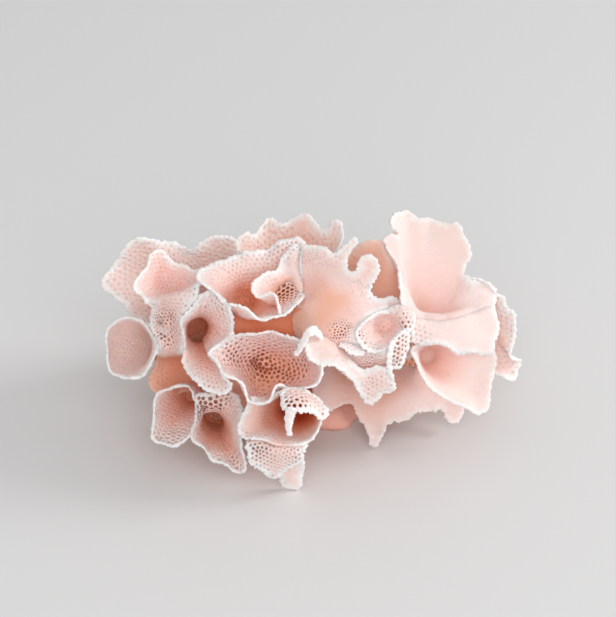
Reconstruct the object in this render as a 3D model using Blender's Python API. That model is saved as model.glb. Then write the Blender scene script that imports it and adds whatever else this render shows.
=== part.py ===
"""Lace bryozoan colony: thin ruffled fronds folded into cups, bowls, funnels and drapes round one holdfast.

The tables are in millimetres and the finished meshes in metres. +X runs along the colony's long side,
+Y to its back and +Z up, and the origin is on the floor under the middle of the colony.
"""

import math

import bmesh
import bpy
from mathutils import Vector

MM = 0.001
SHEET = 1.0  # thickness of a frond
GAP = 0.36  # clearance that a frond keeps from the fronds before it
MITRE = 1.5  # most that the clearance grows at a sharp edge
STEP = 3.3  # width of a face along a rim
TALL = 1.2  # height of a sheet's face over its width
ROWS = 4  # rows of faces from a cup's foot to its rim
FEWEST = 14  # faces round the smallest cup
EVEN = 0.6  # how round a cup's inner rings are: 1 is a circle, 0 follows the rim
DENSE = 12  # points between two table points before a curve is divided evenly
SMOOTH_UNDER = math.radians(40)  # edges flatter than this are shaded smooth
CENTRE = Vector((0.75, -0.75, 0.0))  # middle of the colony's footprint in the tables

LACE = (0.90, 0.72, 0.66)
CRUST = (0.80, 0.60, 0.52)
ROUGHNESS = 0.65


def curve_points(points, closed):
    """Close points along a Catmull-Rom curve through the given ones."""
    ring = [Vector(p) for p in points]
    size = len(ring)
    found = []
    for i in range(size if closed else size - 1):
        if closed:
            a, b, c, d = (ring[(i + k) % size] for k in (-1, 0, 1, 2))
        else:
            b, c = ring[i], ring[i + 1]
            a = ring[i - 1] if i else b * 2 - c
            d = ring[i + 2] if i + 2 < size else c * 2 - b
        for k in range(DENSE):
            t = k / DENSE
            bend = (2 * a - 5 * b + 4 * c - d) * t ** 2 + (3 * b - a - 3 * c + d) * t ** 3
            found.append(0.5 * (2 * b + (c - a) * t + bend))
    found.append(ring[0] if closed else ring[-1])
    return found


def divide(points, count, closed=False):
    """A number of points at even steps along the curve through the given ones."""
    path = curve_points(points, closed)
    reach = [0.0]
    for p, q in zip(path, path[1:]):
        reach.append(reach[-1] + (q - p).length)
    steps = count if closed else count - 1
    found = []
    at = 0
    for k in range(count):
        goal = reach[-1] * k / steps
        while at < len(reach) - 2 and reach[at + 1] < goal:
            at += 1
        span = max(reach[at + 1] - reach[at], 1e-9)
        found.append(path[at].lerp(path[at + 1], (goal - reach[at]) / span))
    return found


def length(points, closed=False):
    """Length of the straight runs between the given points."""
    ring = [Vector(p) for p in points]
    if closed:
        ring.append(ring[0])
    return sum((q - p).length for p, q in zip(ring, ring[1:]))


def inner_ring(centre, radius, rim, foot):
    """Ring about a centre, square to the way from the foot to the rim, that keeps some of the rim's outline."""
    middle = sum(rim, Vector()) / len(rim)
    axis = (middle - foot).normalized()
    arms = [(p - middle) - axis * (p - middle).dot(axis) for p in rim]
    mean = sum(arm.length for arm in arms) / len(arms)
    return [centre + arm.normalized() * radius * (EVEN + (1 - EVEN) * arm.length / mean) for arm in arms]


def cup(foot, foot_radius, neck, neck_radius, rim, waves=0, swing=0.0):
    """A cup: a ring at its closed foot, one at its neck and its rim, which may ruffle in and out."""
    foot = Vector(foot)
    neck = Vector(neck)
    count = max(FEWEST, round(length(rim, True) / STEP))
    lip = divide(rim, count, True)
    low = inner_ring(foot, foot_radius, lip, foot)
    mid = inner_ring(neck, neck_radius, lip, foot)
    lip = [p + (p - neck).normalized() * swing * math.sin(math.tau * waves * i / count)
           for i, p in enumerate(lip)]
    rows = []
    for k in range(ROWS + 1):
        t = k / ROWS
        of_low = 2 * (t - 0.5) * (t - 1)
        of_mid = 4 * t * (1 - t)
        of_lip = 2 * t * (t - 0.5)
        rows.append([a * of_low + b * of_mid + c * of_lip for a, b, c in zip(low, mid, lip)])
    return {"rows": rows, "kind": "cup"}


def sheet(*sections, step=STEP):
    """An open sheet through its section curves."""
    count = max(4, round(max(length(s) for s in sections) / step) + 1)
    lines = [divide(s, count) for s in sections]
    down = [sum((q - p).length for p, q in zip(a, b)) / count for a, b in zip(lines, lines[1:])]
    rows = max(2, round(sum(down) / step / TALL)) + 1
    columns = [divide([line[i] for line in lines], rows) for i in range(count)]
    return {"rows": [list(row) for row in zip(*columns)], "kind": "sheet"}


def crust(centre, outline, *levels):
    """A solid crust: its outline round a centre, at each height by each size."""
    rows = []
    for height, size in levels:
        rows.append([Vector((centre[0] + x * size, centre[1] + y * size, height)) for x, y in outline])
    return {"rows": rows, "kind": "crust"}


def faces_of(work, surface):
    """Faces between a surface's rows, with a cup's foot or a crust's ends closed."""
    grid = [[work.verts.new((p - CENTRE) * MM) for p in row] for row in surface["rows"]]
    wide = len(grid[0])
    is_ring = surface["kind"] != "sheet"
    for low, high in zip(grid, grid[1:]):
        for i in range(wide if is_ring else wide - 1):
            j = (i + 1) % wide
            work.faces.new((low[i], low[j], high[j], high[i]))
    if surface["kind"] == "crust":
        work.faces.new(list(reversed(grid[0])))
        work.faces.new(grid[-1])
    elif surface["kind"] == "cup":
        middle = work.verts.new(sum((v.co for v in grid[0]), Vector()) / wide)
        for i in range(wide):
            work.faces.new((grid[0][(i + 1) % wide], grid[0][i], middle))
    bmesh.ops.recalc_face_normals(work, faces=work.faces)


def solid(name, surface):
    """One closed solid: a frond's surface made as thick as a frond, or a filled crust."""
    mesh = bpy.data.meshes.new(name)
    work = bmesh.new()
    faces_of(work, surface)
    work.to_mesh(mesh)
    work.free()
    item = bpy.data.objects.new(name, mesh)
    bpy.context.collection.objects.link(item)
    if surface["kind"] != "crust":
        wall = item.modifiers.new("Wall", "SOLIDIFY")
        wall.thickness = SHEET * MM
        wall.offset = 0.0
        wall.use_quality_normals = True
        apply_modifier(item, wall)
    return item


def apply_modifier(item, modifier):
    bpy.ops.object.select_all(action="DESELECT")
    item.select_set(True)
    bpy.context.view_layer.objects.active = item
    bpy.ops.object.modifier_apply(modifier=modifier.name)


def combine(item, other, operation):
    """Union with another solid, or a cut by it. Sheets this thin, crossing at low angles, need MANIFOLD:
    EXACT leaves open edges on them, and both meshes are closed."""
    step = item.modifiers.new(operation.title(), "BOOLEAN")
    step.operation = operation
    step.solver = "MANIFOLD"
    step.object = other
    apply_modifier(item, step)


def with_clearance(item):
    """Copy of a solid with every wall moved out by the clearance."""
    copy = bpy.data.objects.new(item.name + "_clearance", item.data.copy())
    bpy.context.collection.objects.link(copy)
    work = bmesh.new()
    work.from_mesh(copy.data)
    work.normal_update()
    moves = [v.normal * min(v.calc_shell_factor(), MITRE) * GAP * MM for v in work.verts]
    for vert, move in zip(work.verts, moves):
        vert.co += move
    work.to_mesh(copy.data)
    work.free()
    return copy


def pieces_of(work):
    """Lists of faces that hang together."""
    left = set(work.faces)
    pieces = []
    while left:
        stack = [left.pop()]
        piece = list(stack)
        while stack:
            for edge in stack.pop().edges:
                for face in edge.link_faces:
                    if face in left:
                        left.remove(face)
                        stack.append(face)
                        piece.append(face)
        pieces.append(piece)
    return pieces


def keep_largest(item):
    """Drop the small scraps that a cut left beyond a neighbour."""
    work = bmesh.new()
    work.from_mesh(item.data)
    pieces = sorted(pieces_of(work), key=lambda piece: sum(face.calc_area() for face in piece))
    for piece in pieces[:-1]:
        bmesh.ops.delete(work, geom=piece, context="FACES")
    loose = [vert for vert in work.verts if not vert.link_faces]
    bmesh.ops.delete(work, geom=loose, context="VERTS")
    work.to_mesh(item.data)
    work.free()


def are_near(a, b):
    """Whether two objects' boxes come within a millimetre of each other."""
    for axis in range(3):
        of_a = [v.co[axis] for v in a.data.vertices]
        of_b = [v.co[axis] for v in b.data.vertices]
        if min(of_a) - MM > max(of_b) or min(of_b) - MM > max(of_a):
            return False
    return True


def floor_block():
    """Block under the floor, which the colony is cut off flat against."""
    bpy.ops.mesh.primitive_cube_add(size=1.0, location=(0, 0, -0.05), scale=(0.4, 0.4, 0.1))
    item = bpy.context.object
    bpy.ops.object.transform_apply(location=True, rotation=False, scale=True)
    item.name = "floor"
    item.hide_render = True
    item.display_type = "WIRE"
    return item


# Every piece by its name, the front ones first: each keeps clear of those before it.
COLONY = {
    "keyhole_funnel": [
        cup((-18.5, 1, 21.5), 1.6, (-22, -6.5, 25), 2.9, [
            (-21, -8, 35), (-23.5, -9, 31), (-25, -10, 28.5), (-24.5, -12, 25), (-24.5, -14, 22.5),
            (-22.5, -17, 20), (-19.5, -20, 20), (-16.5, -21, 20.5), (-15.5, -20, 22), (-18, -18, 23.5),
            (-20, -14.5, 25.5), (-17.5, -11.5, 26.5), (-15, -11, 28), (-15.5, -11, 30.5), (-18, -10, 33)]),
    ],
    "lace_bowl": [
        cup((-8, -9.5, 17.5), 2.0, (-8, -12, 19.5), 6.5, [
            (-14, -10, 26), (-8.5, -10, 26.5), (-3, -11, 27), (1, -13, 24.5), (2, -17, 22), (0.5, -19, 20),
            (-2.5, -20, 20.5), (-5.5, -20, 21.5), (-8, -22, 21), (-9, -24, 19.5), (-12.5, -23, 19.5),
            (-14.5, -20.5, 22.5), (-17, -18.5, 24), (-19, -15.5, 26), (-17, -12.5, 27)]),
        sheet([(-6.5, -20.5, 21), (-4, -19.5, 20.5), (-1, -19, 20), (1, -19, 20.5), (2.5, -21, 20.5)],
              [(-7, -24, 20.5), (-4.5, -25, 20.5), (-0.5, -24.5, 20.5), (2.5, -24.5, 20), (4.5, -25, 19)],
              [(-6.5, -27, 19), (-5.5, -28, 18.5), (-4.3, -28.5, 14.5), (-3, -28, 18.5), (-1, -27.5, 19.5),
               (0.5, -27, 19), (2, -26, 17.5), (4, -25.5, 17.5)]),
    ],
    "upper_bowl": [
        cup((-11.5, -1, 26.5), 2.0, (-11.5, -1.5, 29), 6.0, [
            (-23.5, -2, 35), (-18.5, 3, 35), (-11, 6, 36.5), (-5, 6, 38), (-2, 2, 36), (-1.5, -2, 34),
            (-3, -7, 30.5), (-10, -11, 31), (-15, -10.5, 33.5), (-20, -7.5, 35.5)]),
        sheet([(-2, 3, 36.5), (-1.2, -2, 34), (-2.5, -6, 31)],
              [(-4, 3, 34), (-5.5, -1, 30.5), (-5, -5, 29.5)],
              [(-4.5, 1, 37.5), (-7.5, -3, 36), (-10, -4, 34), (-11, -5.5, 32)]),
    ],
    "front_tunnel": [
        cup((-5, -5, 12), 2.0, (-4, -16.5, 14.5), 4.3, [
            (-12, -23.5, 18.5), (-8, -22, 18.8), (-4.5, -20.5, 18.5), (-1, -20.5, 18), (1.5, -22, 17.5),
            (2.8, -24, 16), (1.5, -25, 13), (-2, -27, 11.5), (-5.5, -27, 11.5), (-9, -26.5, 12.2),
            (-12, -25.5, 13.5), (-12.5, -24.5, 16)]),
        sheet([(-12.2, -25.2, 14), (-9, -26.3, 12.4), (-5.5, -26.8, 11.7), (-1, -26.5, 11.7)],
              [(-12, -25.5, 11), (-9.5, -27, 9), (-6, -27.5, 8), (-1.5, -26.5, 7)],
              [(-12.5, -26, 8), (-10, -27, 6), (-8, -26, 3), (-6, -26, 4), (-4.5, -25.5, -1), (-2, -25.5, -1)]),
    ],
    "lower_left_cup": [
        cup((-17.5, -1.5, 12), 1.8, (-23, -10, 12.5), 3.8, [
            (-25, -12, 16.5), (-29, -13, 16), (-31, -15, 14), (-31.5, -17, 10), (-31.5, -19, 7),
            (-28.5, -20, 7.5), (-25.5, -20, 7.5), (-24, -20, 9), (-24, -18, 12), (-24, -15.5, 14.5)]),
    ],
    "lower_left_fold": [
        cup((-14, -4, 11), 1.6, (-18, -16.5, 11), 3.0, [
            (-22.5, -14.5, 16.5), (-19, -16.5, 17.5), (-16.5, -18, 18), (-15, -20, 15.5), (-14, -22, 13.5),
            (-13, -24, 11), (-12.8, -25, 7), (-13.5, -24, 2.5), (-15.5, -24.5, 4.5), (-18.5, -24, 5.5),
            (-21, -23, 6.5), (-22.4, -20.8, 8.3), (-22.3, -17.5, 13)]),
    ],
    "right_funnel": [
        cup((17, 3, 20), 1.5, (14.5, -3.5, 25), 2.8, [
            (8, -10.5, 26.2), (9, -12, 24.8), (11.5, -13, 24), (14, -12.5, 23.5), (15.5, -11, 24.5),
            (17, -10, 26), (19.5, -8, 26.5), (20, -5, 27.5), (18.5, -3, 29), (15.5, -3, 28.7),
            (12.5, -4.5, 28.3), (9.8, -7.5, 27.8)]),
        sheet([(15.5, -10.5, 24), (17, -9.5, 25), (19.5, -8, 25.5)],
              [(15.5, -10, 21), (17.5, -9.5, 21.5), (19, -8, 21.5)],
              [(16, -9.5, 18), (17, -9, 17.5), (18.5, -8.5, 18.5)]),
    ],
    "centre_sheet": [
        sheet([(-2, 5, 38), (1, 4, 37), (4.5, 3, 36.5), (7.5, 0, 34.5), (10.5, -1, 32.5), (14, -2, 30),
               (16.5, -2, 29.5)],
              [(-0.5, -1, 33), (2.5, -2, 31.5), (6.5, -3, 31), (10, -3.5, 30), (14, -3.5, 28.5)],
              [(-1, -8, 29), (1.5, -8, 27.5), (4.5, -9, 27), (7.5, -8, 26), (10.5, -7, 25.5), (14, -6, 24)],
              [(-0.5, -12, 26.5), (2, -12, 25.5), (5, -12, 24.5), (8, -11, 23), (11.5, -10, 22.5), (14.5, -9.5, 22)],
              [(2.5, -15, 23.5), (4.5, -14.5, 22.5), (7, -13.5, 20.5), (9.5, -14, 17), (11.5, -15, 13),
               (13, -14, 14.5), (14.5, -13, 15), (16.5, -13, 16)]),
        sheet([(-3, -15, 24.5), (-1.5, -13, 24.5), (1, -12, 24.5), (3.5, -12.5, 24.5)],
              [(-1.8, -14, 27.5), (-0.5, -12.3, 28), (1.5, -12, 28), (3, -12.5, 27)],
              [(-0.5, -12.8, 29.3), (0, -12.4, 29.8), (0.8, -12.4, 29.6), (1.8, -12.6, 29)]),
        sheet([(3.2, 3.6, 35.5), (4.2, 2, 35), (6.4, 1, 34.5)],
              [(4, 3, 38), (5, 1.8, 38), (6.6, 1.2, 37.6)],
              [(6.2, 1.8, 40.4), (6.6, 1.2, 40.3), (7.3, 0.9, 40)],
              [(8.2, 0.4, 42), (8.6, 0, 42), (8.9, -0.1, 41.7)]),
        sheet([(7.5, -0.7, 33.2), (10, -1.6, 31.6), (13, -2.4, 29.8)],
              [(7.6, 0, 35.5), (10, -0.3, 34.5), (13, -1, 33)],
              [(8.3, 0.3, 36.8), (10.7, 0.6, 36.4), (12.6, 0.4, 35)]),
    ],
    "right_top_lobe": [
        cup((22, 4, 20), 2.2, (23.5, 3, 25), 5.4, [
            (18, -2.5, 29.5), (17.5, 1, 32.5), (16.5, 4, 35.5), (14.2, 6, 37.2), (17.8, 8.5, 37), (15.3, 11, 38.4),
            (17.5, 14, 40), (20, 15, 39.5), (21.5, 13.5, 38.3), (25, 14, 38.5), (28.5, 12, 38.5), (31, 10.5, 36.5),
            (32, 8.5, 34), (31.5, 7, 31.5), (34, 5, 29.5), (31, 0.5, 26.5), (27, -3, 25.2), (23, -4, 25.2),
            (20, -4.5, 26.3)]),
        sheet([(5.5, 6, 33.5), (8, 7, 35), (11, 7.5, 36.3), (14.5, 7.5, 37.5)],
              [(7, 5, 30), (10, 5, 30.5), (13, 4.5, 31), (17.5, 3, 31.5)],
              [(9, 2, 27.5), (12, 1, 27), (15.5, 0, 27), (19, 0, 28)]),
    ],
    "right_mid_sheet": [
        sheet([(19, -5.5, 26), (23, -5.2, 25), (27, -4.2, 25), (31, -1.5, 25.4), (33.8, 1, 26.2)],
              [(18.5, -7.5, 24), (23, -6.5, 23), (27, -5.5, 22.5), (31, -3.5, 22.5), (36, -0.5, 23)],
              [(19.5, -8, 22), (23, -7, 21.5), (26.5, -6.5, 20.5), (30, -5, 19.5), (33.5, -4, 18.8), (37, -2.5, 18)]),
    ],
    "right_lower_funnel": [
        cup((21, 3, 12), 1.8, (26, -2, 14.5), 4.2, [
            (19, -6.5, 20.5), (23, -5.5, 20), (26.5, -5, 19), (30, -4, 17.8), (33.5, -3, 17), (36, -2, 16),
            (36.5, -3, 12.5), (35.5, -6, 9.5), (34.5, -9, 7.5), (31.5, -11, 9), (28, -11, 10.5),
            (25, -11, 12.5), (22, -10, 15), (20, -8.5, 18)]),
    ],
    "right_edge_lobe": [
        sheet([(29, 9, 28), (27, 9, 22), (26, 8, 16), (26, 6, 11)],
              [(33, 6.5, 29), (34, 7, 25), (35, 6.5, 20), (35, 5, 14), (34, 2, 10)],
              [(34.5, 6, 30), (36, 5.5, 26.5), (38.5, 6.5, 24.5), (39, 5.5, 22), (41, 5.5, 21), (40.5, 4, 18.5),
               (40, 2, 14), (42.5, 4, 11.5), (41.5, 2, 8), (39.5, 0, 8.5), (37.5, -1, 10)]),
    ],
    "right_low_sheet": [
        sheet([(7, 3, 13), (13, 2, 12), (19, 1, 11), (25, 4, 9), (30, 6, 8)],
              [(7, -3, 12), (13, -4.5, 9.5), (19, -5, 9.5), (25, -2, 8), (30, 0, 7)],
              [(7.5, -6, 8.5), (9, -7, 6), (10, -9, 3.5), (12.5, -11, -0.6), (14.5, -10, 4), (16, -9, 5.5),
               (18.5, -9, 6), (21, -7, 6), (25.5, -5, 5), (29, -7, 2.5), (30.5, -4, 4)]),
    ],
    "left_cup": [
        cup((-19, 4, 21.5), 1.8, (-29, -2, 22), 4.6, [
            (-40, -6, 25), (-37, -3, 26), (-33, -3, 25), (-31, -7, 22), (-31.5, -11, 20), (-34.5, -13, 18),
            (-38, -12, 18.5), (-40.5, -9, 21.5)]),
    ],
    "upper_left_cup": [
        cup((-19, 4, 25), 1.8, (-26, -0.5, 29), 3.6, [
            (-32, 2, 37), (-28.5, 4, 36), (-24.5, 4, 33.5), (-25.5, -2, 33.5), (-29.5, -4, 33), (-33.5, -5, 32.5),
            (-34, -2, 35)]),
    ],
    "rear_left_ruffle": [
        sheet([(-22, 6, 18), (-21, 8, 21), (-18, 10, 24), (-13, 11, 26)],
              [(-31, 3, 21), (-32, 6, 26), (-28, 9.5, 29), (-22, 11.5, 30.5), (-15, 12, 31)],
              [(-36.5, 2, 22.5), (-40, 4, 27), (-41, 6, 30), (-38.5, 8, 33), (-36, 9, 36), (-32.5, 10, 36),
               (-28.5, 12, 34.5), (-24.5, 11.5, 33), (-20.5, 12.5, 35), (-15.5, 12.5, 35)]),
    ],
    "left_low_sheet": [
        sheet([(-18, 4, 20), (-17, 3, 14), (-17, 2, 8)],
              [(-25, 0, 18), (-25, -1, 13.5), (-25, -3, 9)],
              [(-29.5, -2, 17.5), (-32, -4, 15), (-32.5, -6, 11), (-30, -7, 8)]),
    ],
    "back_crown": [
        cup((-5, 6.5, 20), 2.4, (-5, 13, 26), 5.4, [
            (-15.5, 14, 31), (-14, 18, 33), (-12, 19, 31), (-9, 23, 34), (-6.5, 22, 32), (-4.5, 23, 33),
            (-2, 24, 35), (0.5, 22, 34), (2.5, 20, 32.5), (4, 21, 35.5), (6, 18, 33), (5, 12, 32), (0, 9.5, 31),
            (-8, 9, 31)]),
    ],
    "back_left_cup": [
        cup((-15, 6.5, 16), 2.6, (-23, 13.5, 19), 6.0, [
            (-37, 14, 20), (-33, 12.5, 26), (-26, 14.5, 28.5), (-20, 18.5, 26), (-17.5, 22, 20), (-20, 23.5, 14.5),
            (-27, 21.5, 11), (-34, 17.5, 14)], 4, 1.4),
    ],
    "back_right_cup": [
        cup((12, 7, 18), 2.6, (20, 13.5, 21), 6.0, [
            (11, 21, 25), (16, 18, 30), (22, 17.5, 31), (28, 15.5, 28), (33, 13.5, 22), (32, 15.5, 16),
            (27, 19.5, 12), (19, 23, 12), (12.5, 24, 15.5), (10, 23.5, 20)], 5, 1.3),
    ],
    "back_middle_cup": [
        cup((-2, 5.5, 13), 2.8, (-2.5, 16, 14), 6.6, [
            (-15, 22.5, 19.5), (-11, 20.5, 24.5), (-3, 21.5, 26), (5, 21.5, 24.5), (8.5, 22, 19), (8.5, 25, 12),
            (5, 25.5, 6.5), (-3, 26.5, 4.5), (-10.5, 25.5, 6.5), (-15.5, 24.5, 13)], 5, 1.4),
    ],
    "back_left_skirt": [
        cup((-12, 4.5, 8), 2.4, (-19, 12, 6.5), 4.0, [
            (-31, 16, 8.5), (-24, 20, 9.5), (-17, 22, 9.5), (-12.5, 23, 5.5), (-13, 20.5, 1.2), (-21, 18, 0.8),
            (-29, 13.5, 2.5)]),
    ],
    "back_right_skirt": [
        cup((10, 5.5, 8), 2.4, (18, 12, 6.5), 4.0, [
            (12, 23.5, 9), (19, 20.5, 9.5), (27, 16, 9.5), (33, 11, 8), (31, 10.5, 3), (23, 15, 0.8), (14, 19.5, 0.8),
            (10, 21.5, 4.5)]),
    ],
    "holdfast": [
        crust((-1, 1), [
            (11, 1), (8.5, 5.5), (3, 6.5), (-2, 8), (-8, 6), (-12, 1.5), (-10, -4), (-4.5, -6.5), (1, -5.5), (7, -5.5)],
             (0.0, 1.0), (1.6, 1.04), (4.2, 0.7), (6.5, 0.42)),
    ],
    "spine_wall": [
        sheet([(-9, 1.5, 4), (-4, -1, 4), (3, 2.5, 4), (8, 0.5, 4)],
              [(-15, 2, 9), (-6, -2, 9), (3, 3, 10), (13, 0, 9)],
              [(-22, 4, 17), (-10, 1, 18), (2, 3, 18), (13, 3, 17), (23, 5, 16)],
              [(-24, 5, 25), (-12, 6, 25), (0, 5, 28), (10, 4, 26), (18, 6, 24)], step=4.5),
    ],
}


def material(name, colour):
    made = bpy.data.materials.new(name)
    made.use_nodes = True
    shader = made.node_tree.nodes["Principled BSDF"]
    shader.inputs["Base Color"].default_value = (*colour, 1.0)
    shader.inputs["Roughness"].default_value = ROUGHNESS
    shader.inputs["Metallic"].default_value = 0.0
    return made


def grow(name, surfaces, earlier, floor):
    """One piece: its surfaces joined, clear of the earlier pieces and cut off at the floor."""
    item = solid(name, surfaces[0])
    for surface in surfaces[1:]:
        branch = solid(name + "_branch", surface)
        combine(item, branch, "UNION")
        bpy.data.objects.remove(branch, do_unlink=True)
    for neighbour in earlier:
        if are_near(item, neighbour):
            cutter = with_clearance(neighbour)
            combine(item, cutter, "DIFFERENCE")
            bpy.data.objects.remove(cutter, do_unlink=True)
    if are_near(item, floor):
        combine(item, floor, "DIFFERENCE")
    keep_largest(item)
    item.data.shade_smooth()
    item.data.set_sharp_from_angle(angle=SMOOTH_UNDER)
    item.data.materials.clear()
    item.data.materials.append(material(name, CRUST if name == "holdfast" else LACE))
    return item


def main():
    for old in list(bpy.data.objects):
        bpy.data.objects.remove(old, do_unlink=True)
    floor = floor_block()
    grown = []
    for name, surfaces in COLONY.items():
        grown.append(grow(name, surfaces, grown, floor))
    bpy.data.objects.remove(floor, do_unlink=True)


main()
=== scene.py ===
"""Lace bryozoan colony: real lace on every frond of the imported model, with a plain floor, lights and a camera.

The tables are in millimetres, as in the colony's own source, and the finished meshes in metres. +X runs along
the colony's long side, +Y to its back and +Z up.
"""

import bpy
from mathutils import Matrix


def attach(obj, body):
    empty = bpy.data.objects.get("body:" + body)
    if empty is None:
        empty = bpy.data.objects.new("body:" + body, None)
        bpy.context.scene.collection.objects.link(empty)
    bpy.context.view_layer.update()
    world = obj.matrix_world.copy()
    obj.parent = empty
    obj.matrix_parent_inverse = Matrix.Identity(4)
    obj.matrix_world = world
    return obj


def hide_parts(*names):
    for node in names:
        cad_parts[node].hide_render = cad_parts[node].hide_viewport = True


bl_info = {
    "name": "Lace bryozoan",
    "version": (1, 0, 0),
    "blender": (4, 5, 0),
    "location": "View3D > Sidebar > Bryozoan",
    "description": "Grows the lace fronds of a bryozoan colony on its packed model and sets it on a studio floor",
    "category": "Object",
}

import math

import bmesh
import bpy
import numpy as np
from mathutils import Vector
from mathutils.bvhtree import BVHTree
from mathutils.kdtree import KDTree

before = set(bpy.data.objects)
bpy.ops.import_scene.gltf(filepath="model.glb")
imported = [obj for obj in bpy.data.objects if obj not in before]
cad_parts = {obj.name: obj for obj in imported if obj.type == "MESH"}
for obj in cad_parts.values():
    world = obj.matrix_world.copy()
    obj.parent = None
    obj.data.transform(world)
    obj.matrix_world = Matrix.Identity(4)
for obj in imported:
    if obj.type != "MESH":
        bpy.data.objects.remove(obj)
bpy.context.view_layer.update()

MM = 0.001
CENTRE = np.array((0.75, -0.75, 0.0))  # middle of the colony's footprint in the tables

# Curves and surfaces
DENSE = 12  # points between two table points before a curve is divided evenly
EVEN = 0.6  # how round a cup's inner rings are: 1 is a circle, 0 follows the rim
FINE = 0.55  # step of the smooth surface that the lace is fitted to
COARSE = 1.2  # step of the holdfast, and of the plain surfaces that tell where two fronds meet
CRUST_ROWS = 9  # rows of points up the holdfast's side
ROW = 0.87  # distance of two rows of pores over the distance of two pores in a row
WAVES_IN_WOBBLE = 5  # sine waves that are added up
FACING = np.array(((1.0, 0.0, 0.0), (0.0, 0.53, 0.85)))  # the plane that tells the inside of an outline
GROWTH_WAVES = ((5.5, 3, 0.75, 3.0), (13.0, 4, 0.9, 8.0))  # wave length, seed, size at the edge, width it fades over
LIFT = 0.35  # the lowest that a frond's middle comes to the floor
APART = 1.7  # an edge this far from another frond's edge can meet its inside
JOINED = 1.0  # how near another frond's surface an edge counts as grown together with it

# Even meshes: lengths are in pitches
CUT_STEP = 0.4  # step of a surface that is cut to an outline
LONG_EDGE = 1.34  # a longer edge is halved
SHORT_EDGE = 0.76  # a shorter edge is joined into a point
ROUNDS = 7  # times that the spacing of the pores is evened out

# Pores, teeth and crumbs
PORE = 0.12  # usual size of a pore
WIDEST = 0.49  # largest pore
LEAST_PORE = 0.07  # a smaller pore is left closed
SOLID_RIM = 0.6  # usual width of the rim without pores
PATCH_EDGE = 1.6  # how steep a patch's edge is
DRIFT_WAVE, DRIFT = 8.0, 0.7  # wave length and share of the change of size over a frond
PORE_LUCK = (0.8, 1.15)  # least and largest random share of a pore's size
TOOTH_REACH = 0.2  # how near an open edge's corners lie to the rim that they belong to
TOOTH_ENDS = (0.3, 0.55)  # where an edge is split for its two teeth, the second over what is left
TOOTH_LUCK = 1.6  # how much rarer long teeth are than short ones
RIM_FADE = 0.8  # width over which a rim's thicker wall thins to the frond's
SOFT_CREASE = 0.75  # how much of a wall's edges stays sharp when it is rounded
CRUMB_MOST = 0.14  # highest crumb
CRUMBS = (0.012, 0.05, 0.6)  # height of the crumbs all over, what a rim adds, and the width that this fades over
BEADS = (0.03, 0.24, 0.9)  # the same for the beads
BEAD_WAVE = 1.1  # wave length of the beads

# Colour along a frond
RIM_WHITE, WHITE_FADE = 0.7, 1.6  # whiteness of a rim and the width that it fades over
PALE_WHITE, PALE_FADE = 0.4, 6.0  # the same for a frond's paler outer part
DOT_WHITE, DOT_FADE = 0.6, 2.6  # the same for the white dots near a rim
DOT_WAVE = 0.95  # wave length of the dots
CORE = np.array((0.0, 2.0, 15.0))  # middle of the colony's inside, where shade is painted as deeper coral
CORE_SIZE = np.array((36.0, 24.0, 22.0))
CORE_EDGE = 0.6  # share of its size that the painted shade of the inside fades over
CORE_SHADE, CORE_INWARD = 0.15, 0.65  # painted shade, as deeper coral, of the colony's inside at a rim, and what is added away from rims
INWARD_FROM, INWARD_OVER = 2.5, 8.0  # distance from a rim where the painted shade starts, and the width it grows over
INWARD_SHADE = 0.3  # painted shade, as coral, away from the rims outside the colony's inside
SHADE_WHITE = 0.6  # share of the white that a patch of painted shade takes away
DARKEST = (0.94, 0.66, 0.5)  # share of the inside's colour that its deepest places keep: the darkest painted shade
LIME_PATCHES = 160.0  # scale of the patches of warmer lime
LACE_BEADS, CRUST_BEADS = 1700.0, 1800.0  # scale of the lime's fine beads
LIME_RELIEF = 0.8  # strength of the beads' relief

AIM = Vector((-0.00165, 0.00485, 0.0235))  # middle of the camera's view
FILL = 0.78  # power of the light from the front over that of the key light
SKY = 0.6  # strength of the light from all round
LIT = Vector((0.0, 0.0, 0.02))  # what the lights face
FOUND = []  # every frond's surface and edge, once they are looked up


# Curves and surfaces


def divide(points, count, closed=False):
    """A number of points at even steps along the Catmull-Rom curve through the given ones."""
    ring = np.array(points, float)
    if closed:
        a, b, c, d = (np.roll(ring, -k, axis=0) for k in (-1, 0, 1, 2))
    else:
        more = np.vstack([ring[0] * 2 - ring[1], ring, ring[-1] * 2 - ring[-2]])
        a, b, c, d = (more[k:len(more) - 3 + k] for k in range(4))
    t = (np.arange(DENSE) / DENSE)[None, :, None]
    a, b, c, d = (side[:, None, :] for side in (a, b, c, d))
    bend = (2 * a - 5 * b + 4 * c - d) * t ** 2 + (3 * b - a - 3 * c + d) * t ** 3
    path = (0.5 * (2 * b + (c - a) * t + bend)).reshape(-1, 3)
    path = np.vstack([path, ring[0] if closed else ring[-1]])
    reach = np.concatenate([[0.0], np.cumsum(np.linalg.norm(np.diff(path, axis=0), axis=1))])
    goals = reach[-1] * np.arange(count) / (count if closed else count - 1)
    return np.stack([np.interp(goals, reach, path[:, k]) for k in range(3)], axis=1)


def length(points, closed=False):
    """Length of the straight runs between the given points."""
    ring = np.array(points, float)
    if closed:
        ring = np.vstack([ring, ring[:1]])
    return float(np.linalg.norm(np.diff(ring, axis=0), axis=1).sum())


def unit(vectors):
    """The same directions at length 1."""
    return vectors / np.maximum(np.linalg.norm(vectors, axis=-1, keepdims=True), 1e-9)


def inner_ring(centre, radius, rim, foot):
    """Ring about a centre, square to the way from the foot to the rim, that keeps some of the rim's outline."""
    middle = rim.mean(axis=0)
    axis = unit(middle - foot)
    arms = rim - middle
    arms = arms - np.outer(arms @ axis, axis)
    reach = np.linalg.norm(arms, axis=1, keepdims=True)
    return centre + unit(arms) * radius * (EVEN + (1 - EVEN) * reach / reach.mean())


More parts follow.
